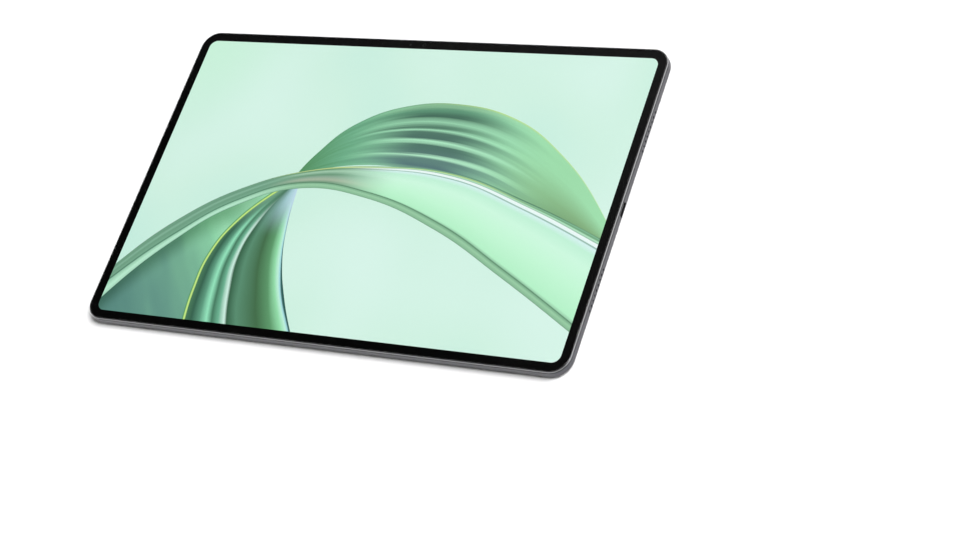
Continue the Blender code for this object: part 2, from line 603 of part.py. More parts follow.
def build_rear_camera(bench, finishes):
    """Camera module behind the main lens, with its barrel, its bracket and its ribbon."""
    x = lens_places()[0]
    barrel_low = LENS_RING_RECESS + LENS_DOME_RISE + LENS_EDGE_THICKNESS + FIT_GAP
    body_low = BACK_Z + BACK_FLOOR + FIT_GAP
    body_high = MID_PLATE_Z - FIT_GAP
    size = (*REAR_CAMERA_SIZE, body_high - body_low)
    camera = bench.piece("rear_camera", *block(size, x, BUMP_Y, body_low), finishes["black_plastic"])
    height = body_low + size[2] / 2 - barrel_low
    barrel = round_bar(REAR_CAMERA_BARREL, height)
    bench.join(camera, "rear_camera_barrel", barrel, (x, BUMP_Y, barrel_low + height / 2))
    left = x + REAR_CAMERA_SIZE[0] / 2 + FIT_GAP
    right = MAIN_BOARD_X - MAIN_BOARD_SIZE[0] / 2 + 2 * FLEX_WIDTH
    ribbon = (right - left, FLEX_WIDTH, FLEX_THICKNESS)
    bench.piece("rear_camera_flex", *block(ribbon, (left + right) / 2, BUMP_Y, FLEX_Z), finishes["flex"])


def build_front_camera(bench, finishes):
    """Small camera under the black border, and the light sensor beside it."""
    barrel_high = GLASS_Z - LAYER_GAP
    body_high = MID_PLATE_Z - FIT_GAP
    size = FRONT_CAMERA_BODY
    centre_y = SIDE_Y - UPPER_WALL - FIT_GAP - size[1] / 2
    body = block(size, FRONT_CAMERA_X, centre_y, body_high - size[2])
    camera = bench.piece("front_camera", *body, finishes["black_plastic"])
    height = barrel_high - body_high + size[2] / 2
    barrel = round_bar(FRONT_CAMERA_BARREL, height, HOLE_SEGMENTS)
    bench.join(camera, "front_camera_barrel", barrel, (FRONT_CAMERA_X, BORDER_Y, barrel_high - height / 2))
    sensor = block(LIGHT_SENSOR_SIZE, LIGHT_SENSOR_X, BORDER_Y, barrel_high - LIGHT_SENSOR_SIZE[2])
    bench.piece("light_sensor", *sensor, finishes["black_plastic"])


# ---------------------------------------------------------------- inner parts


def build_batteries(bench, finishes):
    """Two flat cells side by side, with the protection board above them."""
    inner = BATTERY_CENTRE_GAP / 2
    length = battery_reach() - inner
    size = (length, BATTERY_HIGH_Y - BATTERY_LOW_Y, SPREADER_Z - FIT_GAP - CELL_Z)
    for name, side in (("left", -1), ("right", 1)):
        cell = block(size, side * (inner + length / 2), (BATTERY_LOW_Y + BATTERY_HIGH_Y) / 2, CELL_Z)
        bench.piece(f"battery_{name}", *cell, finishes["battery"])
    board = block(BATTERY_BOARD_SIZE, 0, BATTERY_BOARD_Y, BOARD_Z)
    bench.piece("battery_board", *board, finishes["board"])


def build_boards(bench, finishes):
    """Main board with two shield cans, the port board, and the ribbons that join them."""
    sheet = block((*MAIN_BOARD_SIZE, BOARD_THICKNESS), MAIN_BOARD_X, MAIN_BOARD_Y, BOARD_Z)
    main_board = bench.piece("main_board", *sheet, finishes["board"])
    sheet = block((*USB_BOARD_SIZE, BOARD_THICKNESS), usb_board_x(), 0, BOARD_Z)
    port_board = bench.piece("port_board", *sheet, finishes["board"])
    for ending, x, y in screw_places():
        board = main_board if ending.startswith("board") else port_board
        hole = round_bar(SCREW_SHANK_DIAMETER + 2 * FIT_GAP, 3 * CUT_MARGIN, HOLE_SEGMENTS)
        bench.cut(board, f"screw_hole_{ending}", hole, (x, y, BOARD_Z))
    shields = (
        ("processor_shield", PROCESSOR_SHIELD_LENGTH, -SHIELD_OFFSET),
        ("power_shield", POWER_SHIELD_LENGTH, SHIELD_OFFSET),
    )
    for name, length, offset in shields:
        size = (length, MAIN_BOARD_SIZE[1] - 2 * SHIELD_EDGE, SHIELD_HEIGHT)
        bench.piece(name, *block(size, MAIN_BOARD_X + offset, MAIN_BOARD_Y, FLEX_Z), finishes["steel"])
    build_display_flex(bench, finishes["flex"])
    build_port_flex(bench, finishes["flex"])


def build_display_flex(bench, material):
    """Ribbon from the panel down through the mid plate and onto the main board."""
    size = (DISPLAY_FLEX_WIDTH, FLEX_THICKNESS, PANEL_Z - LAYER_GAP - FLEX_Z)
    drop = block(size, MAIN_BOARD_X, DISPLAY_FLEX_Y, FLEX_Z)
    ribbon = bench.piece("display_flex", *drop, material)
    near = DISPLAY_FLEX_Y - FLEX_THICKNESS / 2
    far = DISPLAY_FLEX_Y + DISPLAY_FLEX_CLEARANCE + FLEX_WIDTH / 2
    run = block((FLEX_WIDTH, far - near, FLEX_THICKNESS), MAIN_BOARD_X, (near + far) / 2, FLEX_Z)
    bench.join(ribbon, "display_flex_run", *run)


def build_port_flex(bench, material):
    """Ribbon from the port board, up beside the battery and across to the main board."""
    x = battery_reach() + FIT_GAP + FLEX_WIDTH / 2
    low = -FLEX_WIDTH / 2
    high = MAIN_BOARD_Y + FLEX_WIDTH / 2
    rise = block((FLEX_WIDTH, high - low, FLEX_THICKNESS), x, (low + high) / 2, FLEX_Z)
    ribbon = bench.piece("port_flex", *rise, material)
    start = MAIN_BOARD_X + MAIN_BOARD_SIZE[0] / 2 - FLEX_WIDTH
    run = block((x - start, FLEX_WIDTH, FLEX_THICKNESS), (start + x) / 2, MAIN_BOARD_Y, FLEX_Z)
    bench.join(ribbon, "port_flex_run", *run)
    tail = block((usb_board_x() - x, FLEX_WIDTH, FLEX_THICKNESS), (usb_board_x() + x) / 2, 0, FLEX_Z)
    bench.join(ribbon, "port_flex_tail", *tail)


def build_port(bench, finishes):
    """Receptacle shell, a tube with round ends, and the contact tongue inside it."""
    mouth = usb_mouth_x()
    centre = (mouth - USB_SHELL_DEPTH / 2, 0, PORT_Z)
    tube = side_slot(USB_SHELL_WIDTH, USB_SHELL_HEIGHT, USB_SHELL_DEPTH)
    shell = bench.piece("usb_c_shell", tube, centre, finishes["steel"], ALONG_X)
    bore_width = USB_SHELL_WIDTH - 2 * USB_SHELL_WALL
    bore_height = USB_SHELL_HEIGHT - 2 * USB_SHELL_WALL
    bore = side_slot(bore_width, bore_height, USB_SHELL_DEPTH)
    bench.cut(shell, "usb_c_bore", bore, (centre[0] + USB_BACK_WALL, 0, PORT_Z), ALONG_X)
    back = mouth - USB_SHELL_DEPTH + USB_BACK_WALL + FIT_GAP
    front = mouth - USB_TONGUE_RECESS
    tongue = rounded_block((front - back, USB_TONGUE_WIDTH, USB_TONGUE_THICKNESS), 0)
    bench.piece("usb_c_tongue", tongue, ((front + back) / 2, 0, PORT_Z), finishes["black_plastic"])


def build_speakers(bench, finishes):
    """Speaker box behind each row of holes, with a strip of acoustic mesh between them."""
    mesh_x = CAVITY_X - FIT_GAP - MESH_THICKNESS / 2
    box_x = speaker_face_x() + SPEAKER_LENGTH / 2
    row = SPEAKER_HOLE_COUNT * SPEAKER_HOLE_PITCH
    strip = (MESH_THICKNESS, row, SPEAKER_HOLE_DIAMETER + 2 * MESH_OVERLAP)
    size = (SPEAKER_LENGTH, row + 2 * SPEAKER_END, MID_PLATE_Z - FIT_GAP - CELL_Z)
    for ending, side, place_y in speaker_places():
        centre = (side * mesh_x, place_y, PORT_Z)
        bench.piece(f"speaker_mesh_{ending}", rounded_block(strip, 0), centre, finishes["mesh"])
        box = block(size, side * box_x, place_y, CELL_Z)
        bench.piece(f"speaker_{ending}", *box, finishes["black_plastic"])


def build_small_parts(bench, finishes):
    """Microphones behind their holes, the two antennas and the board screws."""
    mic_y = CAVITY_Y - FIT_GAP - MIC_SIZE[1] / 2
    for name, side in (("left", -1), ("right", 1)):
        centre = (side * MIC_X, mic_y, PORT_Z)
        bench.piece(f"microphone_{name}", rounded_block(MIC_SIZE, 0), centre, finishes["steel"])
    antenna_y = CAVITY_Y - FIT_GAP - ANTENNA_SIZE[1] / 2
    for name, side in (("upper", 1), ("lower", -1)):
        strip = block(ANTENNA_SIZE, side * (CAVITY_X - ANTENNA_CORNER), side * antenna_y, BOARD_Z)
        bench.piece(f"antenna_{name}", *strip, finishes["flex"])
    head_z = BOARD_TOP_Z + LAYER_GAP + SCREW_HEAD_HEIGHT / 2
    tip = BACK_Z + 2 * FIT_GAP
    length = head_z - tip
    for ending, x, y in screw_places():
        head = round_bar(SCREW_HEAD_DIAMETER, SCREW_HEAD_HEIGHT, HOLE_SEGMENTS)
        screw = bench.piece(f"screw_{ending}", head, (x, y, head_z), finishes["steel"])
        shank = round_bar(SCREW_SHANK_DIAMETER, length, HOLE_SEGMENTS)
        bench.join(screw, f"shank_{ending}", shank, (x, y, tip + length / 2))


def main():
    clear_scene()
    bench = Bench()
    finishes = {
        "body": finish("anodised_aluminium", (0.23, 0.23, 0.24), 0.35, 1.0),
        "frame": finish("polished_aluminium", (0.42, 0.42, 0.43), 0.2, 1.0),
        "glass": finish("cover_glass", (0.02, 0.02, 0.02), 0.05),
        "display": finish("display_panel", (0.62, 0.87, 0.77), 0.4),
        "dark_glass": finish("camera_glass", (0.004, 0.004, 0.005), 0.05),
        "black_metal": finish("black_anodised_metal", (0.03, 0.03, 0.035), 0.3, 1.0),
        "black_plastic": finish("black_plastic", (0.02, 0.02, 0.02), 0.5),
        "steel": finish("stainless_steel", (0.5, 0.5, 0.5), 0.35, 1.0),
        "graphite": finish("graphite_sheet", (0.05, 0.05, 0.05), 0.6),
        "battery": finish("battery_pouch", (0.04, 0.04, 0.045), 0.45),
        "board": finish("circuit_board", (0.01, 0.06, 0.03), 0.4),
        "flex": finish("polyimide_flex", (0.35, 0.16, 0.03), 0.4),
        "mesh": finish("acoustic_mesh", (0.01, 0.01, 0.01), 0.8),
    }
    build_back_cover(bench, finishes["body"])
    build_glass_frame(bench, finishes["frame"])
    build_display(bench, finishes)
    build_keys(bench, finishes)
    build_camera_bump(bench, finishes)
    build_front_camera(bench, finishes)
    build_batteries(bench, finishes)
    build_boards(bench, finishes)
    build_port(bench, finishes)
    build_speakers(bench, finishes)
    build_small_parts(bench, finishes)


main()
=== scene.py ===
"""Slim tablet computer: its visible surfaces, finishes, light and camera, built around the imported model.

Sizes are in millimetres and become metres where a mesh is made. The frame has +X towards the short side
with the charging port, +Y towards the long side with the keys, and +Z out of the screen.
"""

from __future__ import annotations

import json
import logging
import math
from dataclasses import dataclass, field
from enum import Enum
from functools import partial
from typing import Any, Iterable, Sequence

import bmesh
import bpy
from mathutils import Matrix, Vector

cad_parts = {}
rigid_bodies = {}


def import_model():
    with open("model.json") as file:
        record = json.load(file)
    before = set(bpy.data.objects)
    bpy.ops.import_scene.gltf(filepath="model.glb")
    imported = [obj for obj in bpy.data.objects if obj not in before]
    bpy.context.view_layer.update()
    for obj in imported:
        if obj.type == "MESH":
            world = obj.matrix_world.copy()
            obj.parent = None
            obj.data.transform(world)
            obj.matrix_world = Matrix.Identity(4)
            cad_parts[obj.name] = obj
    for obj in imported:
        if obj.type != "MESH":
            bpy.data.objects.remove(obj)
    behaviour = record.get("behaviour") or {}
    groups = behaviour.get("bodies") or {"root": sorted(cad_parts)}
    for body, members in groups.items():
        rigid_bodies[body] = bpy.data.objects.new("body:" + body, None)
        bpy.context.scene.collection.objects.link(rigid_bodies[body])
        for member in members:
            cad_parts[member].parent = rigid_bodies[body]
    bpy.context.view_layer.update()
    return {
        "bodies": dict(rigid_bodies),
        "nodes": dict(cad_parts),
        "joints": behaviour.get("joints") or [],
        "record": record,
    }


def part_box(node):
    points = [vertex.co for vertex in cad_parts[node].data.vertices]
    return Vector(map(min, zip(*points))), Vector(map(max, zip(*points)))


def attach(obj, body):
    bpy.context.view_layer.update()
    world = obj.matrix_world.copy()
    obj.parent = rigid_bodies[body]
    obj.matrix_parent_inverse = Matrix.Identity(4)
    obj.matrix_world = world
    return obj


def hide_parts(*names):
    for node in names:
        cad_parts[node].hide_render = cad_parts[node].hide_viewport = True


LOG = logging.getLogger("tablet")

MM = 0.001
BODY = "tablet_body"
MERGE_DISTANCE = 1e-4            # millimetres
CUT_MARGIN = 1.0                 # cutters run past the faces that they open
SHARP_ANGLE = math.radians(32)

Node = bpy.types.Node
Tree = bpy.types.NodeTree
Face = bmesh.types.BMFace
Point = Sequence[float]


def srgb(code: str) -> tuple[float, ...]:
    """Turns a colour as designers write it into the linear one that shaders use.

    Args:
        code: A hash and six hexadecimal digits in sRGB.

    Returns:
        Linear red, green, blue and an alpha of one.
    """
    levels = [int(code[index:index + 2], 16) / 255 for index in (1, 3, 5)]
    linear = [v / 12.92 if v <= 0.04045 else ((v + 0.055) / 1.055) ** 2.4 for v in levels]
    return (*linear, 1.0)


def fill(node: Node, inputs: dict) -> None:
    """Sets or links inputs of a node.

    Args:
        node: The node.
        inputs: What goes into each input, by name or number: a value, a socket, or a node's first output.
    """
    for key, value in inputs.items():
        if isinstance(value, bpy.types.Node):
            value = next(output for output in value.outputs if output.enabled)
        if isinstance(value, bpy.types.NodeSocket):
            node.id_data.links.new(value, node.inputs[key])
        else:
            node.inputs[key].default_value = value


def add_node(tree: Tree, kind: str, inputs: dict, stops: str = "", points: Sequence[Point] = (),
             **settings: Any) -> Node:
    """Adds one shader node with its settings and links.

    Args:
        tree: Node tree that takes the node.
        kind: Type of the node, without the words that all shader nodes start with.
        inputs: What goes into its inputs.
        stops: Place in hundredths and hex colour of each stop of a colour ramp, with commas between.
        points: Points of a curve, each between nought and one.
        **settings: Attributes of the node.

    Returns:
        The new node.
    """
    node = tree.nodes.new("ShaderNode" + kind)
    for name, value in settings.items():
        setattr(node, name, value)
    fill(node, inputs)
    if stops:
        elements, marks = node.color_ramp.elements, [mark.split() for mark in stops.split(",")]
        while len(elements) < len(marks):
            elements.new(1.0)
        for element, (place, code) in zip(elements, marks):
            element.position, element.color = float(place) / 100, srgb(code)
    if points:
        line = node.mapping.curves[0].points
        while len(line) < len(points):
            line.new(0.5, 0.5)
        for handle, place in zip(line, points):
            handle.location = place
        node.mapping.update()
    return node


# ---- finishes


@dataclass(frozen=True)
class Finish:
    """A real material and the way its surface was made, on one Principled shader."""

    name: str
    colour: str = "#808080"
    roughness: float = 0.5
    metallic: float = 0.0
    gloss: float = 0.5           # share of light that a surface at right angles turns back
    grain: float = 0.3           # size of the surface grain
    relief: float = 0.004        # height of the grain
    wander: float = 0.04         # how far the roughness strays with the grain
    detail: float = 3.0          # how many finer grains lie on the first
    stretch: Point = (1.0, 1.0, 1.0)

    def material(self) -> bpy.types.Material:
        """Returns the material, which is made the first time that it is asked for."""
        made = bpy.data.materials.get(self.name)
        if made is None:
            made = bpy.data.materials.new(self.name)
            made.use_nodes = True
            shader = made.node_tree.nodes["Principled BSDF"]
            fill(shader, {"Base Color": srgb(self.colour), "Roughness": self.roughness,
                          "Metallic": self.metallic, "Specular IOR Level": self.gloss})
            self.dress(shader)
        return made

    def place(self, tree: Tree) -> Node:
        """Gives the object's own coordinates in millimetres, drawn out along the way of the stretch."""
        own = add_node(tree, "TexCoord", {}).outputs["Object"]
        return add_node(tree, "Mapping", {"Vector": own, "Scale": [1 / (MM * part) for part in self.stretch]})

    def surface(self, shader: Node, pattern: Node, inputs: dict | None = None) -> None:
        """Raises the surface by a pattern, and lets the roughness stray with it.

        Args:
            shader: Principled shader.
            pattern: Pattern from nought to one, which stands for the relief.
            inputs: What else goes into the shader.
        """
        node = partial(add_node, shader.id_data)
        bump = node("Bump", {"Height": pattern, "Distance": self.relief * MM, "Strength": 1.0})
        fill(shader, {"Normal": bump, **(inputs or {})})
        if self.wander > 0:
            low, high = self.roughness - self.wander, self.roughness + self.wander
            fill(shader, {"Roughness": node("MapRange", {"Value": pattern, "To Min": low, "To Max": high})})

    def dress(self, shader: Node) -> None:
        """Adds fine even grain, as on moulded plastic.

        Args:
            shader: Principled shader of the material.
        """
        tree = shader.id_data
        inputs = {"Vector": self.place(tree), "Scale": 1 / self.grain, "Detail": self.detail}
        self.surface(shader, add_node(tree, "TexNoise", inputs))


@dataclass(frozen=True)
class BlastedAluminium(Finish):
    """Aluminium blasted with fine beads and anodised, which gives an even satin with a faint sparkle."""

    wander: float = 0.03
    detail: float = 2.0
    mottle: float = 18.0         # size of the slow clouds of the dye
    tones: str = "30 #5d5d61, 70 #616165"

    def dress(self, shader: Node) -> None:
        """Adds the beads' small dents and slow clouds of the dye."""
        super().dress(shader)
        node = partial(add_node, shader.id_data)
        inputs = {"Vector": self.place(shader.id_data), "Scale": 1 / self.mottle, "Detail": 4.0}
        tone = node("ValToRGB", {0: node("TexNoise", inputs)}, self.tones)
        fill(shader, {"Base Color": tone})


@dataclass(frozen=True)
class BrushedMetal(Finish):
    """Rolled or machined metal, with long fine scratches along one axis that also change its gloss."""

    wander: float = 0.07
    detail: float = 4.0
    stretch: Point = (30.0, 1.0, 1.0)


@dataclass(frozen=True)
class TurnedMetal(Finish):
    """Metal ring finished on a lathe, with rings of fine turning marks about its centre."""

    wander: float = 0.0
    centre: Point = (0.0, 0.0)

    def dress(self, shader: Node) -> None:
        """Adds the turning marks about the ring's own centre."""
        node = partial(add_node, shader.id_data)
        shift = [-self.centre[0] / self.grain, -self.centre[1] / self.grain, 0]
        scale = [1 / (MM * self.grain)] * 2 + [0]
        own = node("TexCoord", {}).outputs["Object"]
        around = node("Mapping", {"Vector": own, "Location": shift, "Scale": scale})
        radius = node("VectorMath", {0: around}, operation="LENGTH")
        turns = node("Math", {0: radius, 1: math.tau}, operation="MULTIPLY")
        marks = node("Math", {0: turns}, operation="SINE")
        self.surface(shader, node("MapRange", {"Value": marks, "From Min": -1.0}))


@dataclass(frozen=True)
class BackedGlass(Finish):
    """Polished glass over black, so only its surface shows, with a slow ripple of a few thousandths."""

    wander: float = 0.0
    detail: float = 2.0


@dataclass(frozen=True)
class ClearGlass(BackedGlass):
    """Strengthened cover glass, polished on both faces."""

    def dress(self, shader: Node) -> None:
        """Lets the light through the glass and adds the ripple."""
        super().dress(shader)
        fill(shader, {"Transmission Weight": 1.0, "IOR": 1.5})


@dataclass(frozen=True)
class WovenMesh(Finish):
    """Black acoustic cloth, woven from round threads about 0.3 apart."""

    wander: float = 0.0

    def dress(self, shader: Node) -> None:
        """Crosses two sets of threads, one up and one along the strip."""
        node = partial(add_node, shader.id_data)
        # A wave texture of scale one runs through twenty radians in one unit.
        inputs = {"Vector": self.place(shader.id_data), "Scale": math.tau / 20 / self.grain}
        sets = [node("TexWave", inputs, bands_direction=axis, wave_profile="SIN").outputs["Fac"] for axis in "YZ"]
        weave = node("Math", {0: sets[0], 1: sets[1]}, operation="MULTIPLY")
        tone = node("ValToRGB", {0: weave}, f"0 #020202, 100 {self.colour}")
        self.surface(shader, weave, {"Base Color": tone})


@dataclass(frozen=True)
class EtchedFilm(Finish):
    """Board or ribbon whose copper tracks show through its lacquer."""

    wander: float = 0.0
    track: str = "#2f8f62"
    track_width: float = 0.12    # share of a cell between two tracks

    def dress(self, shader: Node) -> None:
        """Draws the tracks as thin raised lines between cells."""
        node = partial(add_node, shader.id_data)
        inputs = {"Vector": self.place(shader.id_data), "Scale": 1 / self.grain, "Randomness": 0.6}
        cells = node("TexVoronoi", inputs, feature="DISTANCE_TO_EDGE")
        lines = node("MapRange", {"Value": cells, "From Max": self.track_width, "To Min": 1.0, "To Max": 0.0})
        tone = node("ValToRGB", {0: lines}, f"0 {self.colour}, 100 {self.track}")
        self.surface(shader, lines, {"Base Color": tone})


# Satin grey shell. The dye is dark, so the metal stays well below white under bright light.
SHELL_ALUMINIUM = BlastedAluminium("bead_blasted_anodised_aluminium", roughness=0.36, metallic=1.0,
                                   grain=0.12, relief=0.0025)
# Cut after anodising, so the bare bright metal of the chamfer shows as a thin line.
TRIM_ALUMINIUM = BrushedMetal("diamond_cut_aluminium", "#c4c4c6", 0.2, 1.0, grain=0.15, relief=0.001)
# Clear and almost without colour. Its own surface gives only the reflections.
COVER_GLASS = ClearGlass("polished_aluminosilicate_glass", "#ffffff", 0.006, grain=40.0, relief=0.002)
# Ink printed on the back of the glass: as black as print can be.
BORDER_INK = Finish("screen_printed_black_ink", "#030303", 0.8, gloss=0.0, grain=0.05, relief=0.001)
# Camera window: black, hard and glossy.
CAMERA_GLASS = BackedGlass("black_backed_sapphire", "#020203", 0.05, grain=30.0, relief=0.001)
# Lens surface whose coating leaves a dark violet.
LENS_GLASS = BackedGlass("coated_lens_glass", "#0b0716", 0.03, grain=8.0, relief=0.0005)
# Dark satin metal round the cameras.
RIM_METAL = BlastedAluminium("black_anodised_aluminium", "#2a2a2c", 0.3, 1.0, grain=0.12, relief=0.002,
                             tones="30 #26262a, 70 #2e2e32")
# Tube of the port, with the faint lines of drawing.
PORT_STEEL = BrushedMetal("deep_drawn_stainless_steel", "#9a9a98", 0.28, 1.0, grain=0.2, relief=0.002)
# Shields, screws and plates: duller, with the marks of the rolls.
STAMPED_STEEL = BrushedMetal("rolled_stainless_sheet", "#8f8f8d", 0.36, 1.0, grain=0.3, relief=0.003)
# Thin gold on the port's contacts, warm and bright.
CONTACT_GOLD = BrushedMetal("gold_flashed_copper", "#d9a441", 0.25, 1.0, grain=0.1, relief=0.001)
# Small moulded parts: near-black, with the fine texture of the mould.
MOULDED_BLACK = Finish("moulded_black_nylon", "#101010", 0.55, grain=0.25, relief=0.006)
# Black ring in the gap under the bright frame, as painted shade: it gives back almost no light, so the gap reads
# dark.
GAP_SHADE_BLACK = Finish("black_painted_gap_shade", "#0a0a0a", 0.7, gloss=0.2, grain=0.1, relief=0.002)
# Inside of a lens barrel, painted so that nothing shines in it.
BARREL_PAINT = Finish("matt_black_optical_paint", "#040404", 0.85, gloss=0.05, grain=0.1, relief=0.002)
# Heat spreader: grey, with the dull shine of a pencil line.
GRAPHITE = Finish("pressed_graphite_sheet", "#2b2b2d", 0.5, 0.4, grain=0.6, relief=0.004)
# Wrap of the cells, with shallow creases.
CELL_WRAP = Finish("black_laminated_pouch", "#16161a", 0.42, grain=6.0, relief=0.05)
# Lacquered board.
SOLDER_MASK = EtchedFilm("green_solder_mask", "#0d4a30", 0.35, grain=1.6, relief=0.02)
# Clear amber film of the ribbons, with tracks along them.
AMBER_FILM = EtchedFilm("amber_polyimide_film", "#8a4a12", 0.38, grain=0.9, relief=0.01, track="#c98a3a",
                        stretch=(6.0, 1.0, 1.0))
# Cloth behind the speaker holes.
ACOUSTIC_CLOTH = WovenMesh("black_acoustic_cloth", "#1a1a1b", 0.8, grain=0.3, relief=0.05)


# ---- picture on the display


class Edge(Enum):
    """Lines of the picture in millimetres from the middle of the screen.

    The first five give a height for each place along X, and the last two a place along X for each height.
    """

    SAIL_TOP = ((-52, 4), (-44, 19), (-25, 41), (5, 55), (40, 58), (75, 51), (110, 31), (151, -9))
    SAIL_FOOT = ((-52, 4), (-20, 13), (20, 14), (60, 8), (100, -6), (151, -26))
    ARCH_TOP = ((-151, -64), (-118, -29), (-85, -7), (-45, 8), (0, 14), (50, 13), (100, -1), (151, -20))
    ARCH_FOOT = ((-151, -87), (-118, -46), (-85, -19), (-45, -4), (0, -7), (50, -23), (100, -48), (151, -76))
    ARCH_FOLD = ((-151, -74), (-118, -40), (-85, -15), (-45, 0), (0, -3), (50, -18), (100, -43), (151, -71))
    CURTAIN_SIDE = ((-95, -87), (-75, -89), (-52, -88), (-30, -79), (-5, -57))
    CURTAIN_END = ((-95, -15), (-75, -27), (-52, -38), (-30, -44), (-5, -47))


@dataclass(frozen=True)
class Coat:
    """One layer of colour on a ribbon of the picture."""

    run: str                                         # measure that the colours follow
    stops: str
    fades: Sequence[tuple[str, float, float]] = ()   # measure, where the coat starts, and where it is full
    greys: str = ""                                  # across the ribbon, black where hidden and white where seen
    blend: str = "MIX"


MINT = (
    Coat("clouds", "30 #c9f1e2, 50 #d3f5e5, 70 #daf8ec"),
    Coat("along", "0 #cdf6de, 100 #cdf6de", (("along", 0.28, 0.0), ("up", 0.6, 1.0))),
)
CURTAIN_SHEET = (
    Coat("tint", "2 #5b8c82, 14 #66998a, 26 #76b094, 38 #92d8ac, 50 #b0efc6"),
    Coat("along", "0 #bcc8bc, 100 #bcc8bc", (("drop", 0.11, 0.0), ("along", 0.34, 0.20)), blend="MULTIPLY"),
    Coat("way", "96.8 #4f8a5e, 97.4 #6fb06c, 98.2 #cdf088, 99.2 #c4ea84, 100 #6c9c64",
         greys="0 #000000, 96.2 #000000, 97 #ffffff"),
)
CURTAIN_FOLD = (
    Coat("flow", "0 #4a7a5c, 5 #386450, 13 #5f9c80, 20 #97e8c0, 26 #467a60, 32 #6fb594, 37.5 #d2f4e6, 40 #386349, "
                 "50 #5b8f72, 68 #456f4c, 82 #5f9a6c, 91 #96e0ac, 95.5 #c0f4dc, 97.5 #a8dfe6, 98.8 #35605a"),
    Coat("flow", "0 #77a98c, 35 #4d7c62, 70 #a6cfd4, 100 #c4e0f0", (("up", 0.30, 0.46),)),
)
SAIL = (
    Coat("drift", "33 #54905f, 42 #6fb08a, 50 #8fd2a8, 60 #a6eabd, 76 #aaefc0, 88 #98d6a4, 100 #86ae80"),
    Coat("way", "0 #6c9468, 30 #86b482, 70 #a2e2b0", (("along", 0.62, 1.0),)),
    Coat("flow", "0 #8cbc9e, 5 #57787a, 17 #62887f, 21.5 #b6efcb, 25 #587c74, 37 #4f7668, 42 #b2efc8, 47 #4d7166, "
                 "55 #557d6c, 59.5 #a6e4bd, 64 #507a66, 71 #9ad6b0, 80 #446b5a, 90 #5f9678, 100 #9dd0a4",
         (("ragged", 0.40, 0.56), ("ragged", 0.86, 0.62))),
    Coat("along", "33 #4e8464, 55 #6f9f7e, 72 #c9e57a, 95 #d6ec9c",
         greys="0 #000000, 97.2 #000000, 98.5 #9a9a9a, 100 #e0e0e0"),
)
ARCH = (
    Coat("flow", "0 #4f7f66, 10 #79ab8e, 40 #6f9f84, 58 #86b69a, 78 #6b9a80, 93 #79a88c, 100 #456e5a"),
    Coat("flow", "0 #6f9a7c, 20 #a8b9a2, 38 #8fae98, 55 #6c9a7c, 75 #a4cdb0, 90 #5f9068, 96 #d8ea9a, 100 #6f9f80",
         (("along", 0.26, 0.36),)),
    Coat("flow", "0 #8fc3a0, 4 #b8f5cb, 35 #c6fbd8, 62 #d0fce2, 78 #c4f5da, 86 #d9f6f4, 88.2 #7aa892, 89.3 #e6faf8, "
                 "93 #f4fffd, 94.2 #86b89c, 95.5 #bdf0cc, 97.2 #6ba27a, 98.8 #86be98, 100 #4f7a62",
         (("along", 0.40, 0.56),)),
    Coat("along", "20 #8fc4a0, 40 #d6e890, 70 #d6ea8a, 90 #a8d4a0", (("along", 0.95, 0.70),),
         greys="95.8 #000000, 96.8 #ffffff, 97.8 #000000"),
)
ARCH_HEM = (
    Coat("way", "0 #2e5345, 3.5 #3d6b58, 7 #a9dcc0, 45 #bdeed2, 75 #a4d8ba, 93 #8fc4a6, 96.5 #3f6b58, 100 #4c7462"),
    Coat("way", "0 #466854, 6 #86b894, 55 #9ccfa8, 90 #78aa88, 96 #44694f, 100 #4f755f", (("along", 0.20, 0.36),)),
)


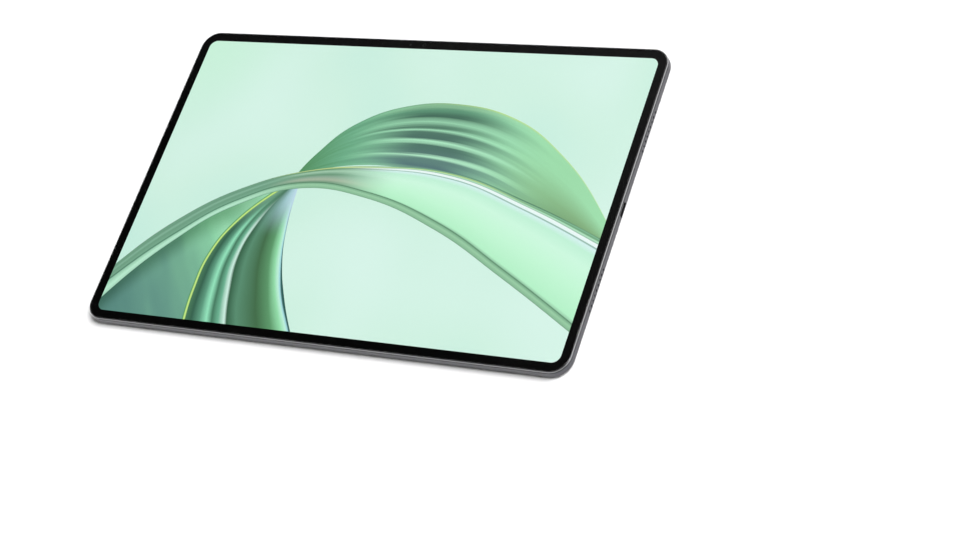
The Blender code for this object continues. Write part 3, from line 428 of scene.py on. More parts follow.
@dataclass(frozen=True)
class LitPicture(Finish):
    """Lit display with an abstract picture of pale green satin ribbons on mint."""

    half_length: float = 151.0
    half_width: float = 94.5
    glow: float = 1.06           # makes up for what the glass turns back
    cloud_scale: float = 9.0
    slant: float = 0.55          # how far the left sheet's shades lean
    sail_start: Point = (0.327, 0.330)

    def dress(self, shader: Node) -> None:
        """Paints the picture from back to front and lets the panel glow with it."""
        node = partial(add_node, shader.id_data)
        own = node("TexCoord", {}).outputs["Object"]
        apart = node("SeparateXYZ", {0: own})
        places = {"clouds": node("TexNoise", {"Vector": own, "Scale": self.cloud_scale, "Detail": 1.0})}
        for name, axis, half in (("along", "X", self.half_length), ("up", "Y", self.half_width)):
            limits = {"Value": apart.outputs[axis], "From Min": -half * MM, "From Max": half * MM}
            places[name] = node("MapRange", limits)
        picture = self.paint(MINT, places)
        for ribbon in (self.curtain, self.sail, self.arch):
            picture = ribbon(picture, places)
        fill(shader, {"Emission Color": picture, "Emission Strength": self.glow})

    def paint(self, coats: Sequence[Coat], places: dict[str, Node]) -> Node:
        """Paints coats over one another.

        Args:
            coats: The coats, from the lowest to the highest.
            places: The measures that the coats run along, by name.

        Returns:
            Node that gives the colour.
        """
        node, below = partial(add_node, places["up"].id_data), None
        for coat in coats:
            colour = node("ValToRGB", {0: places[coat.run]}, coat.stops)
            masks = [node("MapRange", {"Value": places[name], "From Min": start, "From Max": end},
                          interpolation_type="SMOOTHSTEP") for name, start, end in coat.fades]
            if coat.greys:
                masks.append(node("ValToRGB", {0: places["way"]}, coat.greys))
            below = self.lay(below, colour, masks, coat.blend) if below else colour
        return below

    def lay(self, below: Node, above: Node, masks: Sequence[Node], blend: str = "MIX") -> Node:
        """Lays one colour over another where all masks are one.

        Args:
            below: Colour below.
            above: Colour above.
            masks: One or more masks.
            blend: How the colours mix.

        Returns:
            Node that gives the mixed colour.
        """
        node, cover = partial(add_node, below.id_data), masks[0]
        for mask in masks[1:]:
            cover = node("Math", {0: cover, 1: mask}, operation="MULTIPLY")
        return node("Mix", {"Factor": cover, "A": below, "B": above}, data_type="RGBA", blend_type=blend)

    def line(self, at: Node, edge: Edge) -> Node:
        """Follows one of the picture's lines.

        Args:
            at: Share of the screen along the axis that the line runs along.
            edge: The line.

        Returns:
            Node that gives the share of the screen across that axis.
        """
        upright = edge in (Edge.CURTAIN_SIDE, Edge.CURTAIN_END)
        run, rise = (self.half_width, self.half_length) if upright else (self.half_length, self.half_width)
        points = [(min(max((a / run + 1) / 2, 0), 1), (b / rise + 1) / 2) for a, b in edge.value]
        return add_node(at.id_data, "FloatCurve", {"Value": at}, points=points)

    def across(self, at: Node, low: Node | float, high: Node) -> tuple[Node, Node]:
        """Measures how far a place lies between two lines.

        Args:
            at: Place across the lines.
            low: First line.
            high: Second line.

        Returns:
            Share of the way from the first line to the second, and a mask that is one between them.
        """
        node = partial(add_node, at.id_data)
        way = node("MapRange", {"Value": at, "From Min": low, "From Max": high}, clamp=False)
        return way, node("Math", {0: way, 1: 0.5, 2: 0.5}, operation="COMPARE")

    def stirred(self, at: Node, along: Node, way: Node, pace: Point, size: float) -> Node:
        """Moves a place by soft streaks that run along a ribbon, which makes its bands flow.

        Args:
            at: The place.
            along: Share of the screen along the ribbon.
            way: Share of the way across the ribbon.
            pace: How fast the streaks change along and across.
            size: Farthest that the place moves either way.

        Returns:
            Node that gives the moved place.
        """
        node = partial(add_node, at.id_data)
        spot = node("CombineXYZ", {"X": along, "Y": way})
        stretched = node("Mapping", {"Vector": spot, "Scale": (*pace, 1.0)})
        streaks = node("TexNoise", {"Vector": stretched, "Scale": 1.0, "Detail": 2.0})
        offset = node("MapRange", {"Value": streaks, "To Min": -size, "To Max": size})
        return node("Math", {0: at, 1: offset}, operation="ADD")

    def curtain(self, under: Node, places: dict[str, Node]) -> Node:
        """Paints the ribbon that hangs at the lower left, a flat sheet and a pleated fold beside it.

        Args:
            under: Picture so far.
            places: Share of the screen along and up, by name.

        Returns:
            Node that gives the picture with the ribbon.
        """
        node, along, up = partial(add_node, under.id_data), places["along"], places["up"]
        side, end = self.line(up, Edge.CURTAIN_SIDE), self.line(up, Edge.CURTAIN_END)
        roof, foot = self.line(along, Edge.ARCH_FOLD), self.line(along, Edge.ARCH_FOOT)
        below = node("Math", {0: up, 1: roof}, operation="LESS_THAN")
        way, inside = self.across(along, 0.0, side)
        lean = node("Math", {0: up, 1: self.slant, 2: along}, operation="MULTIPLY_ADD")
        tint = self.stirred(lean, lean, way, pace=(9.0, 1.2), size=0.16)
        drop = node("Math", {0: foot, 1: up}, operation="SUBTRACT")
        sheet = self.paint(CURTAIN_SHEET, {**places, "way": way, "tint": tint, "drop": drop})
        under = self.lay(under, sheet, [inside, below])
        way, inside = self.across(along, side, end)
        flow = self.stirred(way, up, way, pace=(2.5, 3.0), size=0.05)
        return self.lay(under, self.paint(CURTAIN_FOLD, {**places, "flow": flow}), [inside, below])

    def sail(self, under: Node, places: dict[str, Node]) -> Node:
        """Paints the broad ribbon that rises behind the arch, with satin streaks in its middle.

        Args:
            under: Picture so far.
            places: Share of the screen along and up, by name.

        Returns:
            Node that gives the picture with the ribbon.
        """
        along = places["along"]
        foot, top = self.line(along, Edge.SAIL_FOOT), self.line(along, Edge.SAIL_TOP)
        way, inside = self.across(places["up"], foot, top)
        measures = {
            **places, "way": way,
            "drift": self.stirred(along, along, way, pace=(3.0, 14.0), size=0.05),
            "flow": self.stirred(way, along, way, pace=(3.0, 14.0), size=0.05),
            "ragged": self.stirred(along, along, way, pace=(1.2, 9.0), size=0.09),
        }
        limits = {"Value": along, "From Min": self.sail_start[0], "From Max": self.sail_start[1]}
        start = add_node(under.id_data, "MapRange", limits, interpolation_type="SMOOTHSTEP")
        return self.lay(under, self.paint(SAIL, measures), [inside, start])

    def arch(self, under: Node, places: dict[str, Node]) -> Node:
        """Paints the long ribbon across the whole picture, and the turned edge along its foot.

        Args:
            under: Picture so far.
            places: Share of the screen along and up, by name.

        Returns:
            Node that gives the picture with the ribbon.
        """
        along, up = places["along"], places["up"]
        foot, fold, top = (self.line(along, edge) for edge in (Edge.ARCH_FOOT, Edge.ARCH_FOLD, Edge.ARCH_TOP))
        way, inside = self.across(up, fold, top)
        flow = self.stirred(way, along, way, pace=(3.0, 5.0), size=0.03)
        under = self.lay(under, self.paint(ARCH, {**places, "way": way, "flow": flow}), [inside])
        way, inside = self.across(up, foot, fold)
        return self.lay(under, self.paint(ARCH_HEM, {**places, "way": way}), [inside])


# ---- solids


@dataclass(frozen=True)
class Box:
    """Lowest and highest corner of a space, in millimetres."""

    low: Vector
    high: Vector

    @classmethod
    def of(cls, node: str) -> "Box":
        """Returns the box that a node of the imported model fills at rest."""
        low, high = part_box(node)
        return cls(Vector(low) / MM, Vector(high) / MM)

    @classmethod
    def upright(cls, half: Point, low: float, high: float) -> "Box":
        """Returns a box about the upright axis, from its half sizes and its two levels."""
        return cls(Vector((-half[0], -half[1], low)), Vector((half[0], half[1], high)))

    def levels(self, inset: float, low: float, high: float) -> "Box":
        """Returns a box drawn in from the sides of this one, between two levels."""
        return Box(Vector((self.low.x + inset, self.low.y + inset, low)),
                   Vector((self.high.x - inset, self.high.y - inset, high)))

    @property
    def centre(self) -> Vector:
        """Middle of the box."""
        return (self.low + self.high) / 2

    @property
    def size(self) -> Vector:
        """Length along each axis."""
        return self.high - self.low


class Way(Enum):
    """Where the upper end of an upright solid points once it is in place."""

    UP = ((1, 0, 0), (0, 1, 0), (0, 0, 1))
    DOWN = ((1, 0, 0), (0, -1, 0), (0, 0, -1))
    RIGHT = ((0, 0, 1), (1, 0, 0), (0, 1, 0))
    LEFT = ((0, 0, -1), (-1, 0, 0), (0, 1, 0))
    BACK = ((-1, 0, 0), (0, 0, 1), (0, 1, 0))


class Solid:
    """A closed shape in millimetres, made from one block or profile and worked face by face."""

    CORNER_SEGMENTS = 20

    def __init__(self, name: str) -> None:
        """Starts an empty shape under a piece's name."""
        self.name = name
        self.mesh = bmesh.new()

    def block(self, box: Box, radius: float = 0.0) -> "Solid":
        """Makes an upright block, with round upright edges if a radius is given.

        Args:
            box: Space that the block fills.
            radius: Radius of the upright edges.

        Returns:
            The shape itself.
        """
        mesh = self.mesh
        bmesh.ops.create_cube(mesh, size=1.0)
        bmesh.ops.scale(mesh, vec=box.size, verts=mesh.verts)
        if radius > 0:
            upright = [e for e in mesh.edges if abs(e.verts[0].co.z - e.verts[1].co.z) > box.size.z / 2]
            bmesh.ops.bevel(mesh, geom=upright, offset=radius, segments=self.CORNER_SEGMENTS, profile=0.5,
                            affect="EDGES", material=-1)
            bmesh.ops.remove_doubles(mesh, verts=mesh.verts, dist=MERGE_DISTANCE)
        bmesh.ops.translate(mesh, vec=box.centre, verts=mesh.verts)
        return self

    def turned(self, profile: Iterable[Point], segments: int = 64) -> "Solid":
        """Turns a profile about the upright axis.

        Args:
            profile: Radius and height of each point, from the axis round to the axis, or a closed ring.
            segments: Number of steps of the turn.

        Returns:
            The shape itself.
        """
        mesh = self.mesh
        points = [mesh.verts.new((radius, 0, height)) for radius, height in profile]
        edges = [mesh.edges.new(pair) for pair in zip(points, points[1:])]
        if points[0].co.x > MERGE_DISTANCE:
            edges.append(mesh.edges.new((points[-1], points[0])))
        bmesh.ops.spin(mesh, geom=points + edges, cent=(0, 0, 0), axis=(0, 0, 1), angle=math.tau,
                       steps=segments, use_merge=True)
        bmesh.ops.remove_doubles(mesh, verts=mesh.verts, dist=MERGE_DISTANCE)
        bmesh.ops.recalc_face_normals(mesh, faces=mesh.faces)
        return self

    def moved(self, place: Point, way: Way = Way.UP) -> "Solid":
        """Points the shape's upper end a certain way and moves its origin to its place."""
        step = Matrix.Translation(Vector(place)) @ Matrix(way.value).to_4x4()
        bmesh.ops.transform(self.mesh, matrix=step, verts=self.mesh.verts)
        return self

    def face(self, side: int) -> Face:
        """Returns the level face that lies highest, for a side of one, or lowest, for minus one."""
        level = [f for f in self.mesh.faces if f.normal.z * side > 0.99]
        return max(level, key=lambda f: side * f.calc_center_median().z)

    def step(self, face: Face, inward: float, outward: float) -> Face:
        """Draws a face in from its edges and moves it along its normal, or into the solid below nought."""
        bmesh.ops.inset_individual(self.mesh, faces=[face], thickness=inward, depth=outward,
                                   use_even_offset=True)
        return face

    def round_over(self, face: Face, radius: float, segments: int = 5) -> Face:
        """Raises a face with a quarter round along its edges.

        Args:
            face: Face to work on.
            radius: Radius of the quarter round, and the height that the face gains.
            segments: Number of steps of the round.

        Returns:
            The face in its new place.
        """
        turns = [index * math.pi / 2 / segments for index in range(segments + 1)]
        for start, end in zip(turns, turns[1:]):
            inward = radius * (math.cos(start) - math.cos(end))
            self.step(face, inward, radius * (math.sin(end) - math.sin(start)))
        return face

    def open_between(self, upper: Face, lower: Face) -> "Solid":
        """Opens the solid between two faces with the same outline, and walls the opening.

        Args:
            upper: Face at one end of the opening.
            lower: Face at its other end.

        Returns:
            The shape itself.
        """
        rims = list(upper.edges) + list(lower.edges)
        bmesh.ops.delete(self.mesh, geom=[upper, lower], context="FACES_ONLY")
        bmesh.ops.bridge_loops(self.mesh, edges=rims)
        bmesh.ops.recalc_face_normals(self.mesh, faces=self.mesh.faces)
        return self

    def data(self) -> bpy.types.Mesh:
        """Turns the shape into Blender's mesh data, and ends it."""
        made = bpy.data.meshes.new(self.name)
        self.mesh.to_mesh(made)
        self.mesh.free()
        return made

    def take(self, other: "Solid") -> "Solid":
        """Takes in another shape, which stays apart from this one and is used up."""
        scratch = other.data()
        self.mesh.from_mesh(scratch)
        bpy.data.meshes.remove(scratch)
        return self

    def combined(self, tools: Sequence["Solid"], operation: str = "DIFFERENCE") -> "Solid":
        """Cuts other shapes out of this one, or joins them to it.

        Args:
            tools: The other shapes, which are used up.
            operation: Name of the Boolean operation.

        Returns:
            The shape itself.
        """
        tool = Solid("tool")
        for part in tools:
            tool.take(part)
        objects = [add_object(solid.name, solid.data()) for solid in (self, tool)]
        work = objects[0].modifiers.new("combine", "BOOLEAN")
        work.operation, work.solver, work.object = operation, "EXACT", objects[1]
        graph = bpy.context.evaluated_depsgraph_get()
        result = bpy.data.meshes.new_from_object(objects[0].evaluated_get(graph))
        self.mesh = bmesh.new()
        self.mesh.from_mesh(result)
        spent = [result] + [made.data for made in objects]
        for made in objects:
            bpy.data.objects.remove(made)
        for data in spent:
            bpy.data.meshes.remove(data)
        return self

    def finished(self, finish: Finish, slot: str, replaces: Sequence[str] = (), body: str = BODY) -> None:
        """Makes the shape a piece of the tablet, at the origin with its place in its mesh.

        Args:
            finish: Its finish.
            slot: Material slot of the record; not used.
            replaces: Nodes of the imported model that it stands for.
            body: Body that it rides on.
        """
        bmesh.ops.scale(self.mesh, vec=(MM, MM, MM), verts=self.mesh.verts)
        data = self.data()
        data.materials.append(finish.material())
        data.shade_smooth()
        data.set_sharp_from_angle(angle=SHARP_ANGLE)
        piece = add_object(self.name, data)
        even = piece.modifiers.new("even_shading", "WEIGHTED_NORMAL")
        even.keep_sharp = True
        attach(piece, body)
        if replaces:
            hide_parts(*replaces)
        LOG.info("%s: %d faces, %s", self.name, len(data.polygons), finish.name)


def add_object(name: str, data: Any) -> bpy.types.Object:
    """Adds an object with its data to the scene and returns it."""
    made = bpy.data.objects.new(name, data)
    bpy.context.scene.collection.objects.link(made)
    return made


def drill(place: Point, way: Way, radius: float, depth: float, flare: float, segments: int = 24) -> Solid:
    """Makes a cutter for a round hole with a softened mouth.

    Args:
        place: Middle of the mouth, on the surface.
        way: Where the hole opens to.
        radius: Radius of the hole.
        depth: Depth of the hole.
        flare: Width of the softened edge.
        segments: Number of sides of the hole.

    Returns:
        The cutter.
    """
    mouth = radius + flare
    profile = ((0, -depth), (radius, -depth), (radius, -flare), (mouth, 0), (mouth, CUT_MARGIN), (0, CUT_MARGIN))
    return Solid("hole").turned(profile, segments).moved(place, way)


def slot_cutter(place: Point, way: Way, length: float, height: float, depth: float, flare: float) -> Solid:
    """Makes a cutter for a slot with round ends and a softened mouth.

    Args:
        place: Middle of the mouth, on the surface.
        way: Where the slot opens to.
        length: Length of the slot.
        height: Height of the slot.
        depth: Depth of the slot.
        flare: Width of the softened edge.

    Returns:
        The cutter.
    """
    half = (length / 2 + flare, height / 2 + flare)
    cutter = Solid("slot").block(Box.upright(half, 0, CUT_MARGIN), half[1])
    inner = cutter.step(cutter.face(-1), flare, flare)
    cutter.step(inner, 0, depth - flare)
    return cutter.moved(place, way)


# ---- sub-assemblies


@dataclass
class Housing:
    """Back cover with its openings, the bright frame that holds the glass, and a black ring between them that paints
    the gap's shade.
    """

    corner: float = 11.0
    back_round: float = 0.75         # round edge between the back and the side wall
    gap: float = 0.8                 # dark line between the wall and the bright frame
    # insets of the black ring of painted shade in the gap, outside and inside
    shade_ring_insets: Point = (0.12, 0.66)
    lip_round: float = 0.08
    lip: float = 0.35
    upper_wall: float = 1.6
    wall: float = 2.6
    floor: float = 0.7
    rebate: float = 0.4              # below the frame's flange
    fit: float = 0.3
    hole_radius: float = 0.75
    hole_pitch: float = 3.1
    holes: int = 9
    hole_flare: float = 0.09
    microphone_radius: float = 0.45
    port_mouth: Point = (9.0, 2.75)
    port_flare: float = 0.14
    key_flare: float = 0.08
    bump_ledge: float = 3.0          # window edge inside the bump's outline
    bump_seat: float = 0.3
    shade_ring_room: float = 0.02
    frame_lip: float = 0.42          # height of the bright line
    frame_neck: float = 0.7
    frame_chamfer: float = 0.33
    frame_edge: float = 0.04
    frame_inner: float = 0.8
    frame_reach: float = 2.9
    flange: float = 0.3

    def build(self) -> None:
        """Builds the cover, the frame, and the black ring between them that paints the gap's shade."""
        self.build_cover()
        self.build_frame()
        self.build_gap_shade_ring()

    def build_cover(self) -> None:
        """Builds the milled tray."""
        box = Box.of("back_cover")
        frame = Box.of("glass_frame")
        rim = frame.high.z - self.frame_lip - self.gap
        walls = box.levels(0, box.low.z + self.back_round, rim - self.lip_round)
        tray = Solid("back_cover_shell").block(walls, self.corner)
        tray.round_over(tray.face(-1), self.back_round, 6)
        top = tray.round_over(tray.face(1), self.lip_round, 2)
        levels = (
            (self.lip, frame.low.z - self.rebate),
            (self.upper_wall, Box.of("mid_plate").low.z - self.fit),
            (self.wall, box.low.z + self.floor),
        )
        inset, level = self.lip_round, rim
        for wall, bottom in levels:
            tray.step(top, wall - inset, 0)
            tray.step(top, 0, bottom - level)
            inset, level = wall, bottom
        tray.combined(list(self.openings(box)))
        tray.finished(SHELL_ALUMINIUM, "anodised_shell", ["back_cover"])

    def openings(self, box: Box) -> Iterable[Solid]:
        """Gives a cutter for each opening in the back cover's walls and back.

        Args:
            box: Space that the back cover fills.

        Yields:
            The cutters, one by one.
        """
        depth = self.wall + CUT_MARGIN
        for ending, way, side in (("left", Way.LEFT, box.low.x), ("right", Way.RIGHT, box.high.x)):
            for level in ("upper", "lower"):
                row = Box.of(f"speaker_mesh_{ending}_{level}").centre
                for index in range(self.holes):
                    offset = (index - (self.holes - 1) / 2) * self.hole_pitch
                    place = (side, row.y + offset, row.z)
                    yield drill(place, way, self.hole_radius, depth, self.hole_flare)
            microphone = Box.of(f"microphone_{ending}").centre
            place = (microphone.x, box.high.y, microphone.z)
            yield drill(place, Way.BACK, self.microphone_radius, depth, self.hole_flare)
        port = Box.of("usb_c_shell")
        place = (box.high.x, port.centre.y, port.centre.z)
        yield slot_cutter(place, Way.RIGHT, *self.port_mouth, depth, self.port_flare)
        room = Vector((self.fit, self.fit, self.fit / 3))
        yield Solid("pocket").block(Box(port.low - room, port.high + room + Vector((0, 0, CUT_MARGIN))))
        for key in ("power_key", "volume_key"):
            head = Box.of(key)
            length = head.size.x - 2 * Keys.flange_end + 2 * self.fit
            place = (head.centre.x, box.high.y, head.centre.z)
            yield slot_cutter(place, Way.BACK, length, head.size.z + 2 * self.fit, depth, self.key_flare)
        rim = Box.of("camera_bump_rim")
        seat = rim.levels(-self.fit, box.low.z - CUT_MARGIN, box.low.z + self.bump_seat)
        yield Solid("seat").block(seat, seat.size.y / 2)
        top = box.low.z + self.floor + CUT_MARGIN
        window = rim.levels(self.bump_ledge, box.low.z + self.bump_seat / 2, top)
        yield Solid("window").block(window, window.size.y / 2)

    def build_frame(self) -> None:
        """Builds the glass frame: a lip with a bright chamfer, a neck, and a flange under the glass."""
        box = Box.of("glass_frame")
        low, edge = box.high.z - self.frame_lip, self.frame_edge
        lip = box.levels(0, low, box.high.z - self.frame_chamfer - 2 * edge)
        frame = Solid("polished_glass_frame").block(lip, self.corner)
        under = frame.step(frame.face(-1), self.frame_neck, 0)
        frame.step(under, 0, low - box.low.z)
        frame.step(under, self.frame_reach - self.frame_neck, 0)
        top = frame.step(frame.face(1), edge / 2, edge)
        frame.step(top, self.frame_chamfer, self.frame_chamfer)
        frame.step(top, edge, edge)
        frame.step(top, self.frame_inner - self.frame_chamfer - 1.5 * edge, 0)
        frame.step(top, 0, box.low.z + self.flange - box.high.z)
        frame.step(top, self.frame_reach - self.frame_inner, 0)
        frame.open_between(top, under)
        frame.finished(TRIM_ALUMINIUM, "polished_frame", ["glass_frame"])

    def build_gap_shade_ring(self) -> None:
        """Builds a black ring in the gap under the bright frame: painted shade, which shows as a dark line there."""
        box = Box.of("glass_frame")
        outer, inner = self.shade_ring_insets
        high = box.high.z - self.frame_lip - self.shade_ring_room
        band = box.levels(outer, high - self.gap + 2 * self.shade_ring_room, high)
        # A near-black ring fills the gap: painted shade for the dark line under the frame.
        shade_ring = Solid("black_ring_painting_gap_shade").block(band, self.corner - outer)
        top = shade_ring.step(shade_ring.face(1), inner - outer, 0)
        under = shade_ring.step(shade_ring.face(-1), inner - outer, 0)
        shade_ring.open_between(top, under)
        shade_ring.finished(GAP_SHADE_BLACK, "black_plastic")


@dataclass
class Screen:
    """Cover glass, the black print on its back, and the lit panel."""

    corner: float = 11.0
    glass_inset: float = 0.9
    border: float = 5.2
    glass_round: float = 0.28
    glass_chamfer: float = 0.08
    print_room: float = 0.02
    print_thickness: float = 0.05
    windows: tuple[tuple[str, float], ...] = (("front_camera", 1.25), ("light_sensor", 0.7))
    window_flare: float = 0.01
    lens_radius: float = 0.85
    lens_rise: float = 0.06
    lens_sink: float = 0.02
    picture: LitPicture = LitPicture("lit_display_with_ribbons", "#000000", 0.6, gloss=0.0)

    def build(self, frame: dict) -> None:
        """Builds the glass, its print and the front camera's lens, and lights the panel.

        Args:
            frame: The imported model.
        """
        glass = Box.of("cover_glass")
        slab = glass.levels(0, glass.low.z + self.glass_chamfer, glass.high.z - self.glass_round)
        pane = Solid("clear_cover_glass").block(slab, self.corner - self.glass_inset)
        pane.round_over(pane.face(1), self.glass_round)
        pane.step(pane.face(-1), self.glass_chamfer, self.glass_chamfer)
        pane.finished(COVER_GLASS, "cover_glass", ["cover_glass"])
        self.build_print(glass)
        self.build_lens(glass)
        dress_node(frame, "display_panel", self.picture)

    def build_print(self, glass: Box) -> None:
        """Builds the black border, with clear windows for the front camera and the light sensor.

        Args:
            glass: Space that the cover glass fills.
        """
        high = glass.low.z - self.print_room
        sheet = glass.levels(0, high - self.print_thickness, high)
        ink = Solid("black_border_print").block(sheet, self.corner - self.glass_inset)
        top = ink.step(ink.face(1), self.border, 0)
        under = ink.step(ink.face(-1), self.border, 0)
        ink.open_between(top, under)
        line, level = glass.high.y - self.border / 2, high + CUT_MARGIN / 2
        ink.combined([drill((Box.of(node).centre.x, line, level), Way.UP, radius, 2 * CUT_MARGIN, self.window_flare)
                      for node, radius in self.windows])
        ink.finished(BORDER_INK, "black_plastic")

    def build_lens(self, glass: Box) -> None:
        """Builds the small lens of the front camera behind its window.

        Args:
            glass: Space that the cover glass fills.
        """
        place = (Box.of("front_camera").centre.x, glass.high.y - self.border / 2,
                 glass.low.z - self.print_room - self.print_thickness)
        radius, rise = self.lens_radius, self.lens_rise
        profile = [(0, -self.lens_sink), (radius, -self.lens_sink)]
        profile += [(radius * math.cos(a), rise * math.sin(a)) for a in (0.3, 0.7, 1.1)]
        lens = Solid("front_camera_lens").turned([*profile, (0, rise)], 32).moved(place)
        lens.finished(LENS_GLASS, "camera_glass")


@dataclass
class Keys:
    """Power key and volume key, each a head with round ends on a flange inside the wall."""

    flange_end: float = 1.0
    flange_thickness: float = 0.85
    edge_round: float = 0.14
    end_ease: float = 0.02           # keeps the head's round ends just short of full

    def build(self) -> None:
        """Builds both keys, each on its own body."""
        for key in ("power_key", "volume_key"):
            box = Box.of(key)
            half = (box.size.x / 2 - self.flange_end, box.size.z / 2)
            bar = Box.upright(half, self.flange_thickness / 2, box.size.y - self.edge_round)
            head = Solid(f"{key}_cap").block(bar, half[1] - self.end_ease)
            head.round_over(head.face(1), self.edge_round, 4)
            plate = Box.upright((box.size.x / 2, box.size.z / 2), 0, self.flange_thickness)
            place = (box.centre.x, box.low.y, box.centre.z)
            head.combined([Solid("flange").block(plate)], "UNION").moved(place, Way.BACK)
            head.finished(SHELL_ALUMINIUM, "anodised_shell", [key], key)


@dataclass
class ChargingPort:
    """Receptacle: a drawn steel tube and a tongue with gold contacts on both faces."""

    wall: float = 0.2
    back: float = 0.4
    mouth_round: float = 0.07
    tongue_round: float = 0.12
    contacts: int = 12
    pitch: float = 0.5
    pad: Point = (3.2, 0.26, 0.03)   # length, width and thickness
    pad_setback: float = 0.6         # from the tongue's tip

    def build(self) -> None:
        """Builds the tube, the tongue and its contacts."""
        box = Box.of("usb_c_shell")
        half, length = (box.size.y / 2, box.size.z / 2), box.size.x
        tube = Solid("port_shell").block(Box.upright(half, 0, length - self.mouth_round), half[1])
        mouth = tube.round_over(tube.face(1), self.mouth_round, 3)
        tube.step(mouth, self.wall - self.mouth_round, 0)
        tube.step(mouth, 0, self.back - length)
        tube.moved((box.low.x, box.centre.y, box.centre.z), Way.RIGHT)
        tube.finished(PORT_STEEL, "steel", ["usb_c_shell"])
        self.build_tongue()

    def build_tongue(self) -> None:
        """Builds the tongue and the two rows of contacts that lie on it."""
        box = Box.of("usb_c_tongue")
        half = (box.size.y / 2, box.size.z / 2)
        bar = Box.upright(half, 0, box.size.x - self.tongue_round)
        tongue = Solid("port_tongue").block(bar, self.tongue_round)
        tongue.round_over(tongue.face(1), self.tongue_round, 3)
        tongue.moved((box.low.x, box.centre.y, box.centre.z), Way.RIGHT)
        tongue.finished(MOULDED_BLACK, "black_plastic", ["usb_c_tongue"])
        pads, size = Solid("port_contacts"), Vector(self.pad)
        for side in (-1, 1):
            for index in range(self.contacts):
                y = box.centre.y + (index - (self.contacts - 1) / 2) * self.pitch
                z = box.centre.z + side * (box.size.z + size.z) / 2
                centre = Vector((box.high.x - self.pad_setback - size.x / 2, y, z))
                pads.take(Solid("pad").block(Box(centre - size / 2, centre + size / 2)))
        pads.finished(CONTACT_GOLD, "steel")


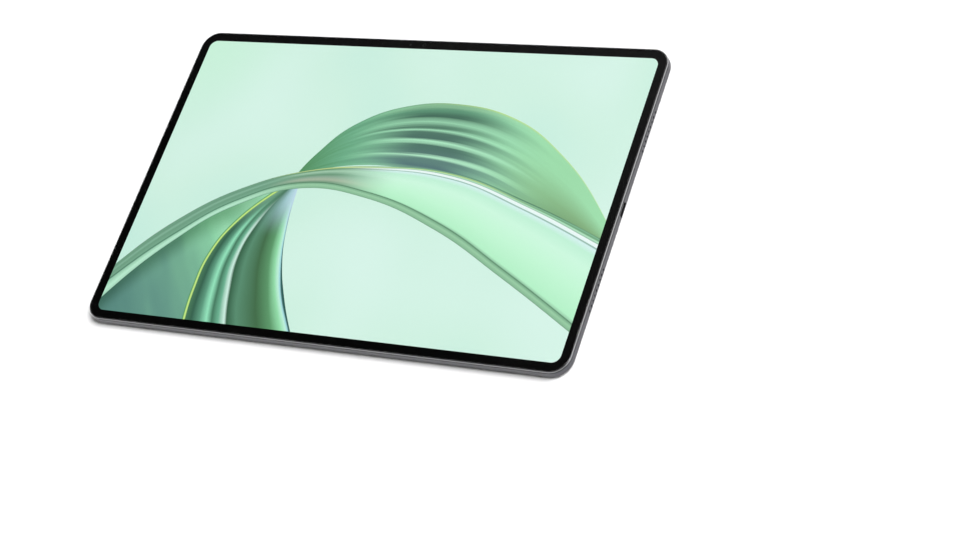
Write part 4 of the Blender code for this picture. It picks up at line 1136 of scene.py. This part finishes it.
@dataclass
class CameraBump:
    """Raised oval on the back: stepped rim, black glass, and two ringed windows."""

    rim_width: float = 1.3
    rim_round: float = 0.3
    ledge: float = 1.7
    ledge_room: float = 0.3
    edge_gap: float = 0.1
    edge_flare: float = 0.05
    glass_round: float = 0.14
    ring_width: float = 1.5
    ring_chamfer: float = 0.16
    dome_rise: float = 0.42
    dome_steps: int = 10
    pane_round: float = 0.1
    dome_gap: float = 0.02
    barrel_depth: float = 0.4
    pupil: float = 2.4               # radius of the lens at the barrel's end
    baffles: int = 4
    sides: int = 96                  # of every round piece

    def build(self) -> None:
        """Builds the rim, the glass and both windows."""
        self.build_rim()
        self.build_glass()
        for name in ("main", "second"):
            self.build_ring(name)
        self.build_main_lens()
        self.build_second_lens()

    def build_rim(self) -> None:
        """Builds the rim, whose outer edge is stepped and rounded."""
        box, glass = Box.of("camera_bump_rim"), Box.of("camera_bump_glass")
        band = box.levels(0, box.low.z + self.rim_round, box.high.z)
        rim = Solid("camera_rim_band").block(band, box.size.y / 2)
        under = rim.round_over(rim.face(-1), self.rim_round)
        rim.step(under, self.rim_width - self.rim_round, 0)
        rim.step(under, 0, box.low.z - glass.high.z - self.ledge_room)
        rim.step(under, self.ledge, 0)
        top = rim.step(rim.face(1), self.rim_width + self.ledge, 0)
        rim.open_between(top, under)
        rim.finished(RIM_METAL, "black_metal", ["camera_bump_rim"])

    def build_glass(self) -> None:
        """Builds the glass with a round hole for each ring."""
        box = Box.of("camera_bump_glass")
        slab = box.levels(0, box.low.z + self.glass_round, box.high.z)
        pane = Solid("camera_bump_window").block(slab, box.size.y / 2)
        pane.round_over(pane.face(-1), self.glass_round, 4)
        holes, depth = [], box.size.z + CUT_MARGIN
        for name in ("main", "second"):
            ring = Box.of(f"{name}_lens_ring")
            place, radius = (ring.centre.x, ring.centre.y, box.low.z), ring.size.x / 2 + self.edge_gap
            holes.append(drill(place, Way.DOWN, radius, depth, self.edge_flare, self.sides))
        pane.combined(holes)
        pane.finished(CAMERA_GLASS, "camera_glass", ["camera_bump_glass"])

    def build_round(self, name: str, profile: Sequence[Point], box: Box) -> Solid:
        """Turns a profile into a piece that stands on the upper side of a box and faces the back."""
        place = (box.centre.x, box.centre.y, box.high.z)
        return Solid(name).turned(profile, self.sides).moved(place, Way.DOWN)

    def build_ring(self, name: str) -> None:
        """Builds the turned ring of one window, with its face to the back.

        Args:
            name: Name of the window, main or second.
        """
        box = Box.of(f"{name}_lens_ring")
        outer, height = box.size.x / 2, box.size.z
        inner, cut = outer - self.ring_width, self.ring_chamfer
        profile = ((inner, 0), (outer, 0), (outer, height - cut), (outer - cut, height),
                   (inner + 2 * cut, height), (inner, height - 2 * cut))
        finish = TurnedMetal(f"turned_black_aluminium_{name}", "#3a3a3e", 0.26, 1.0, grain=0.3, relief=0.004,
                             centre=(box.centre.x, box.centre.y))
        ring = self.build_round(f"{name}_ring_turned", profile, box)
        ring.finished(finish, "black_metal", [f"{name}_lens_ring"])

    def dome(self, radius: float, low: float, rise: float) -> list[Point]:
        """Returns the profile of a dome, from its edge to the axis."""
        turns = [index * math.pi / 2 / self.dome_steps for index in range(self.dome_steps)]
        return [(radius * math.cos(turn), low + rise * math.sin(turn)) for turn in turns] + [(0, low + rise)]

    def build_main_lens(self) -> None:
        """Builds the clear domed window, the stepped barrel behind it, and the lens at the barrel's end."""
        box = Box.of("main_lens")
        radius, height, depth = box.size.x / 2, box.size.z, self.barrel_depth
        back = depth + self.dome_gap
        profile = [(0, back), (radius, back), *self.dome(radius, height - self.dome_rise, self.dome_rise)]
        self.build_round("main_lens_dome", profile, box).finished(COVER_GLASS, "camera_glass", ["main_lens"])
        run, drop = (radius - self.pupil) / self.baffles, depth / (self.baffles + 1)
        profile = [(self.pupil, 0), (radius, 0)]
        for index in range(self.baffles):
            edge, level = radius - index * run, depth - index * drop
            profile += [(edge, level), (edge - run, level)]
        self.build_round("main_lens_barrel", profile, box).finished(BARREL_PAINT, "black_metal")
        profile = [(0, 0), (self.pupil, 0), *self.dome(self.pupil, 0, 2 * drop)]
        self.build_round("main_lens_element", profile, box).finished(LENS_GLASS, "camera_glass")

    def build_second_lens(self) -> None:
        """Builds the flat window with a softened edge."""
        box = Box.of("second_lens")
        radius, height, soft = box.size.x / 2, box.size.z, self.pane_round
        profile = ((0, 0), (radius, 0), (radius, height - soft), (radius - soft, height), (0, height))
        self.build_round("second_lens_pane", profile, box).finished(CAMERA_GLASS, "camera_glass", ["second_lens"])


def dress_node(frame: dict, node: str, finish: Finish) -> None:
    """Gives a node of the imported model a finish.

    Args:
        frame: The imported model.
        node: The node's name.
        finish: The finish.
    """
    kept = frame["nodes"][node]
    if not kept.material_slots:
        kept.data.materials.append(None)
    for slot in kept.material_slots:
        slot.material = finish.material()
    LOG.info("%s: %s", node, finish.name)


@dataclass
class Insides:
    """Pieces inside the housing, which keep their shape and take the finish of their real material."""

    finishes: dict[str, Finish] = field(default_factory=lambda: {
        "steel": STAMPED_STEEL,
        "graphite": GRAPHITE,
        "battery_pouch": CELL_WRAP,
        "circuit_board": SOLDER_MASK,
        "flex_film": AMBER_FILM,
        "acoustic_mesh": ACOUSTIC_CLOTH,
        "black_plastic": MOULDED_BLACK,
    })
    rebuilt: tuple[str, ...] = ("usb_c_shell", "usb_c_tongue")

    def build(self, frame: dict) -> None:
        """Dresses every node that no other piece stands for, by its slot in the record.

        Args:
            frame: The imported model.
        """
        for part in frame["record"]["subparts"]:
            node, slot = part["node"], part["material_slot"]
            if slot in self.finishes and node not in self.rebuilt:
                dress_node(frame, node, self.finishes[slot])


# ---- studio


@dataclass
class Studio:
    """Pale floor, soft light and the camera."""

    floor_half: float = 6000.0
    floor_drop: float = 0.05
    floor_paint: Finish = Finish("matt_white_paint", "#fbfbfb", 0.9, grain=2.0, relief=0.01)
    stand: Point = (656.5, -507.7, 910.0)
    look_azimuth: float = 140.79     # degrees from +X towards +Y
    look_elevation: float = -51.05
    roll: float = 38.09              # clockwise tilt of the view
    lens: float = 80.9
    sensor: float = 36.0
    nearest: float = 0.01            # metres
    key_strength: float = 3.9
    key_spread: float = 34.0         # apparent size of the key light, in degrees
    key_from: Point = (0.56, 0.12, 0.82)
    sky_low: float = 0.55            # light from all round near the level of the floor
    sky_high: float = 0.02
    band: Point = (0.40, 0.64)
    glow_from: Point = (0.5, 0.866, 0.0)
    glow_edge: Point = (0.05, 0.45)
    glow: float = 0.22

    def build(self) -> None:
        """Builds the floor, the lights and the camera."""
        self.build_floor()
        self.build_light()
        self.build_camera()

    def build_floor(self) -> None:
        """Builds a wide level floor just under the tablet."""
        plane = Solid("floor")
        bmesh.ops.create_grid(plane.mesh, x_segments=1, y_segments=1, size=self.floor_half * MM)
        floor = add_object("floor", plane.moved((0, 0, -self.floor_drop * MM)).data())
        floor.data.materials.append(self.floor_paint.material())

    def build_light(self) -> None:
        """Builds the broad key light and the dim room round it, which shows pale to the eye."""
        key = add_object("key_light", bpy.data.lights.new("key_light", "SUN"))
        key.data.energy, key.data.angle = self.key_strength, math.radians(self.key_spread)
        key.rotation_euler = Vector(self.key_from).to_track_quat("Z", "Y").to_euler()
        world = bpy.data.worlds.new("studio")
        bpy.context.scene.world = world
        world.use_nodes = True
        world.node_tree.nodes.clear()
        node = partial(add_node, world.node_tree)
        around = node("TexCoord", {}).outputs["Generated"]
        height = node("SeparateXYZ", {0: around}).outputs["Z"]
        limits = {"Value": height, "From Min": self.band[0], "From Max": self.band[1],
                  "To Min": self.sky_low, "To Max": self.sky_high}
        band = node("MapRange", limits, interpolation_type="SMOOTHSTEP")
        facing = node("VectorMath", {0: around, 1: self.glow_from}, operation="DOT_PRODUCT")
        limits = {"Value": facing, "From Min": self.glow_edge[0], "From Max": self.glow_edge[1],
                  "To Max": self.glow}
        level = node("Math", {0: band, 1: node("MapRange", limits)}, operation="ADD")
        dim = node("Background", {"Color": srgb("#ffffff"), "Strength": level})
        pale = node("Background", {"Color": srgb("#f8f8f8"), "Strength": 1.0})
        seen = node("LightPath", {}).outputs["Is Camera Ray"]
        node("OutputWorld", {"Surface": node("MixShader", {0: seen, 1: dim, 2: pale})})

    def build_camera(self) -> None:
        """Places the camera above the tablet's lower right corner, turned about its own line of sight."""
        camera = add_object("camera", bpy.data.cameras.new("camera"))
        camera.data.lens, camera.data.sensor_width = self.lens, self.sensor
        camera.data.clip_start = self.nearest
        turns = ((self.look_azimuth - 90, "Z"), (self.look_elevation + 90, "X"), (-self.roll, "Z"))
        turn, tilt, roll = (Matrix.Rotation(math.radians(angle), 4, axis) for angle, axis in turns)
        camera.matrix_world = Matrix.Translation(Vector(self.stand) * MM) @ turn @ tilt @ roll
        bpy.context.scene.camera = camera
        bpy.context.scene.view_settings.view_transform = "Standard"


def main() -> None:
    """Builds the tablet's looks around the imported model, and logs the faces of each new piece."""
    logging.basicConfig(level=logging.INFO, format="%(name)s: %(message)s")
    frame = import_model()
    Housing().build()
    Screen().build(frame)
    Keys().build()
    ChargingPort().build()
    CameraBump().build()
    Insides().build(frame)
    Studio().build()


if __name__ == "__main__":
    main()
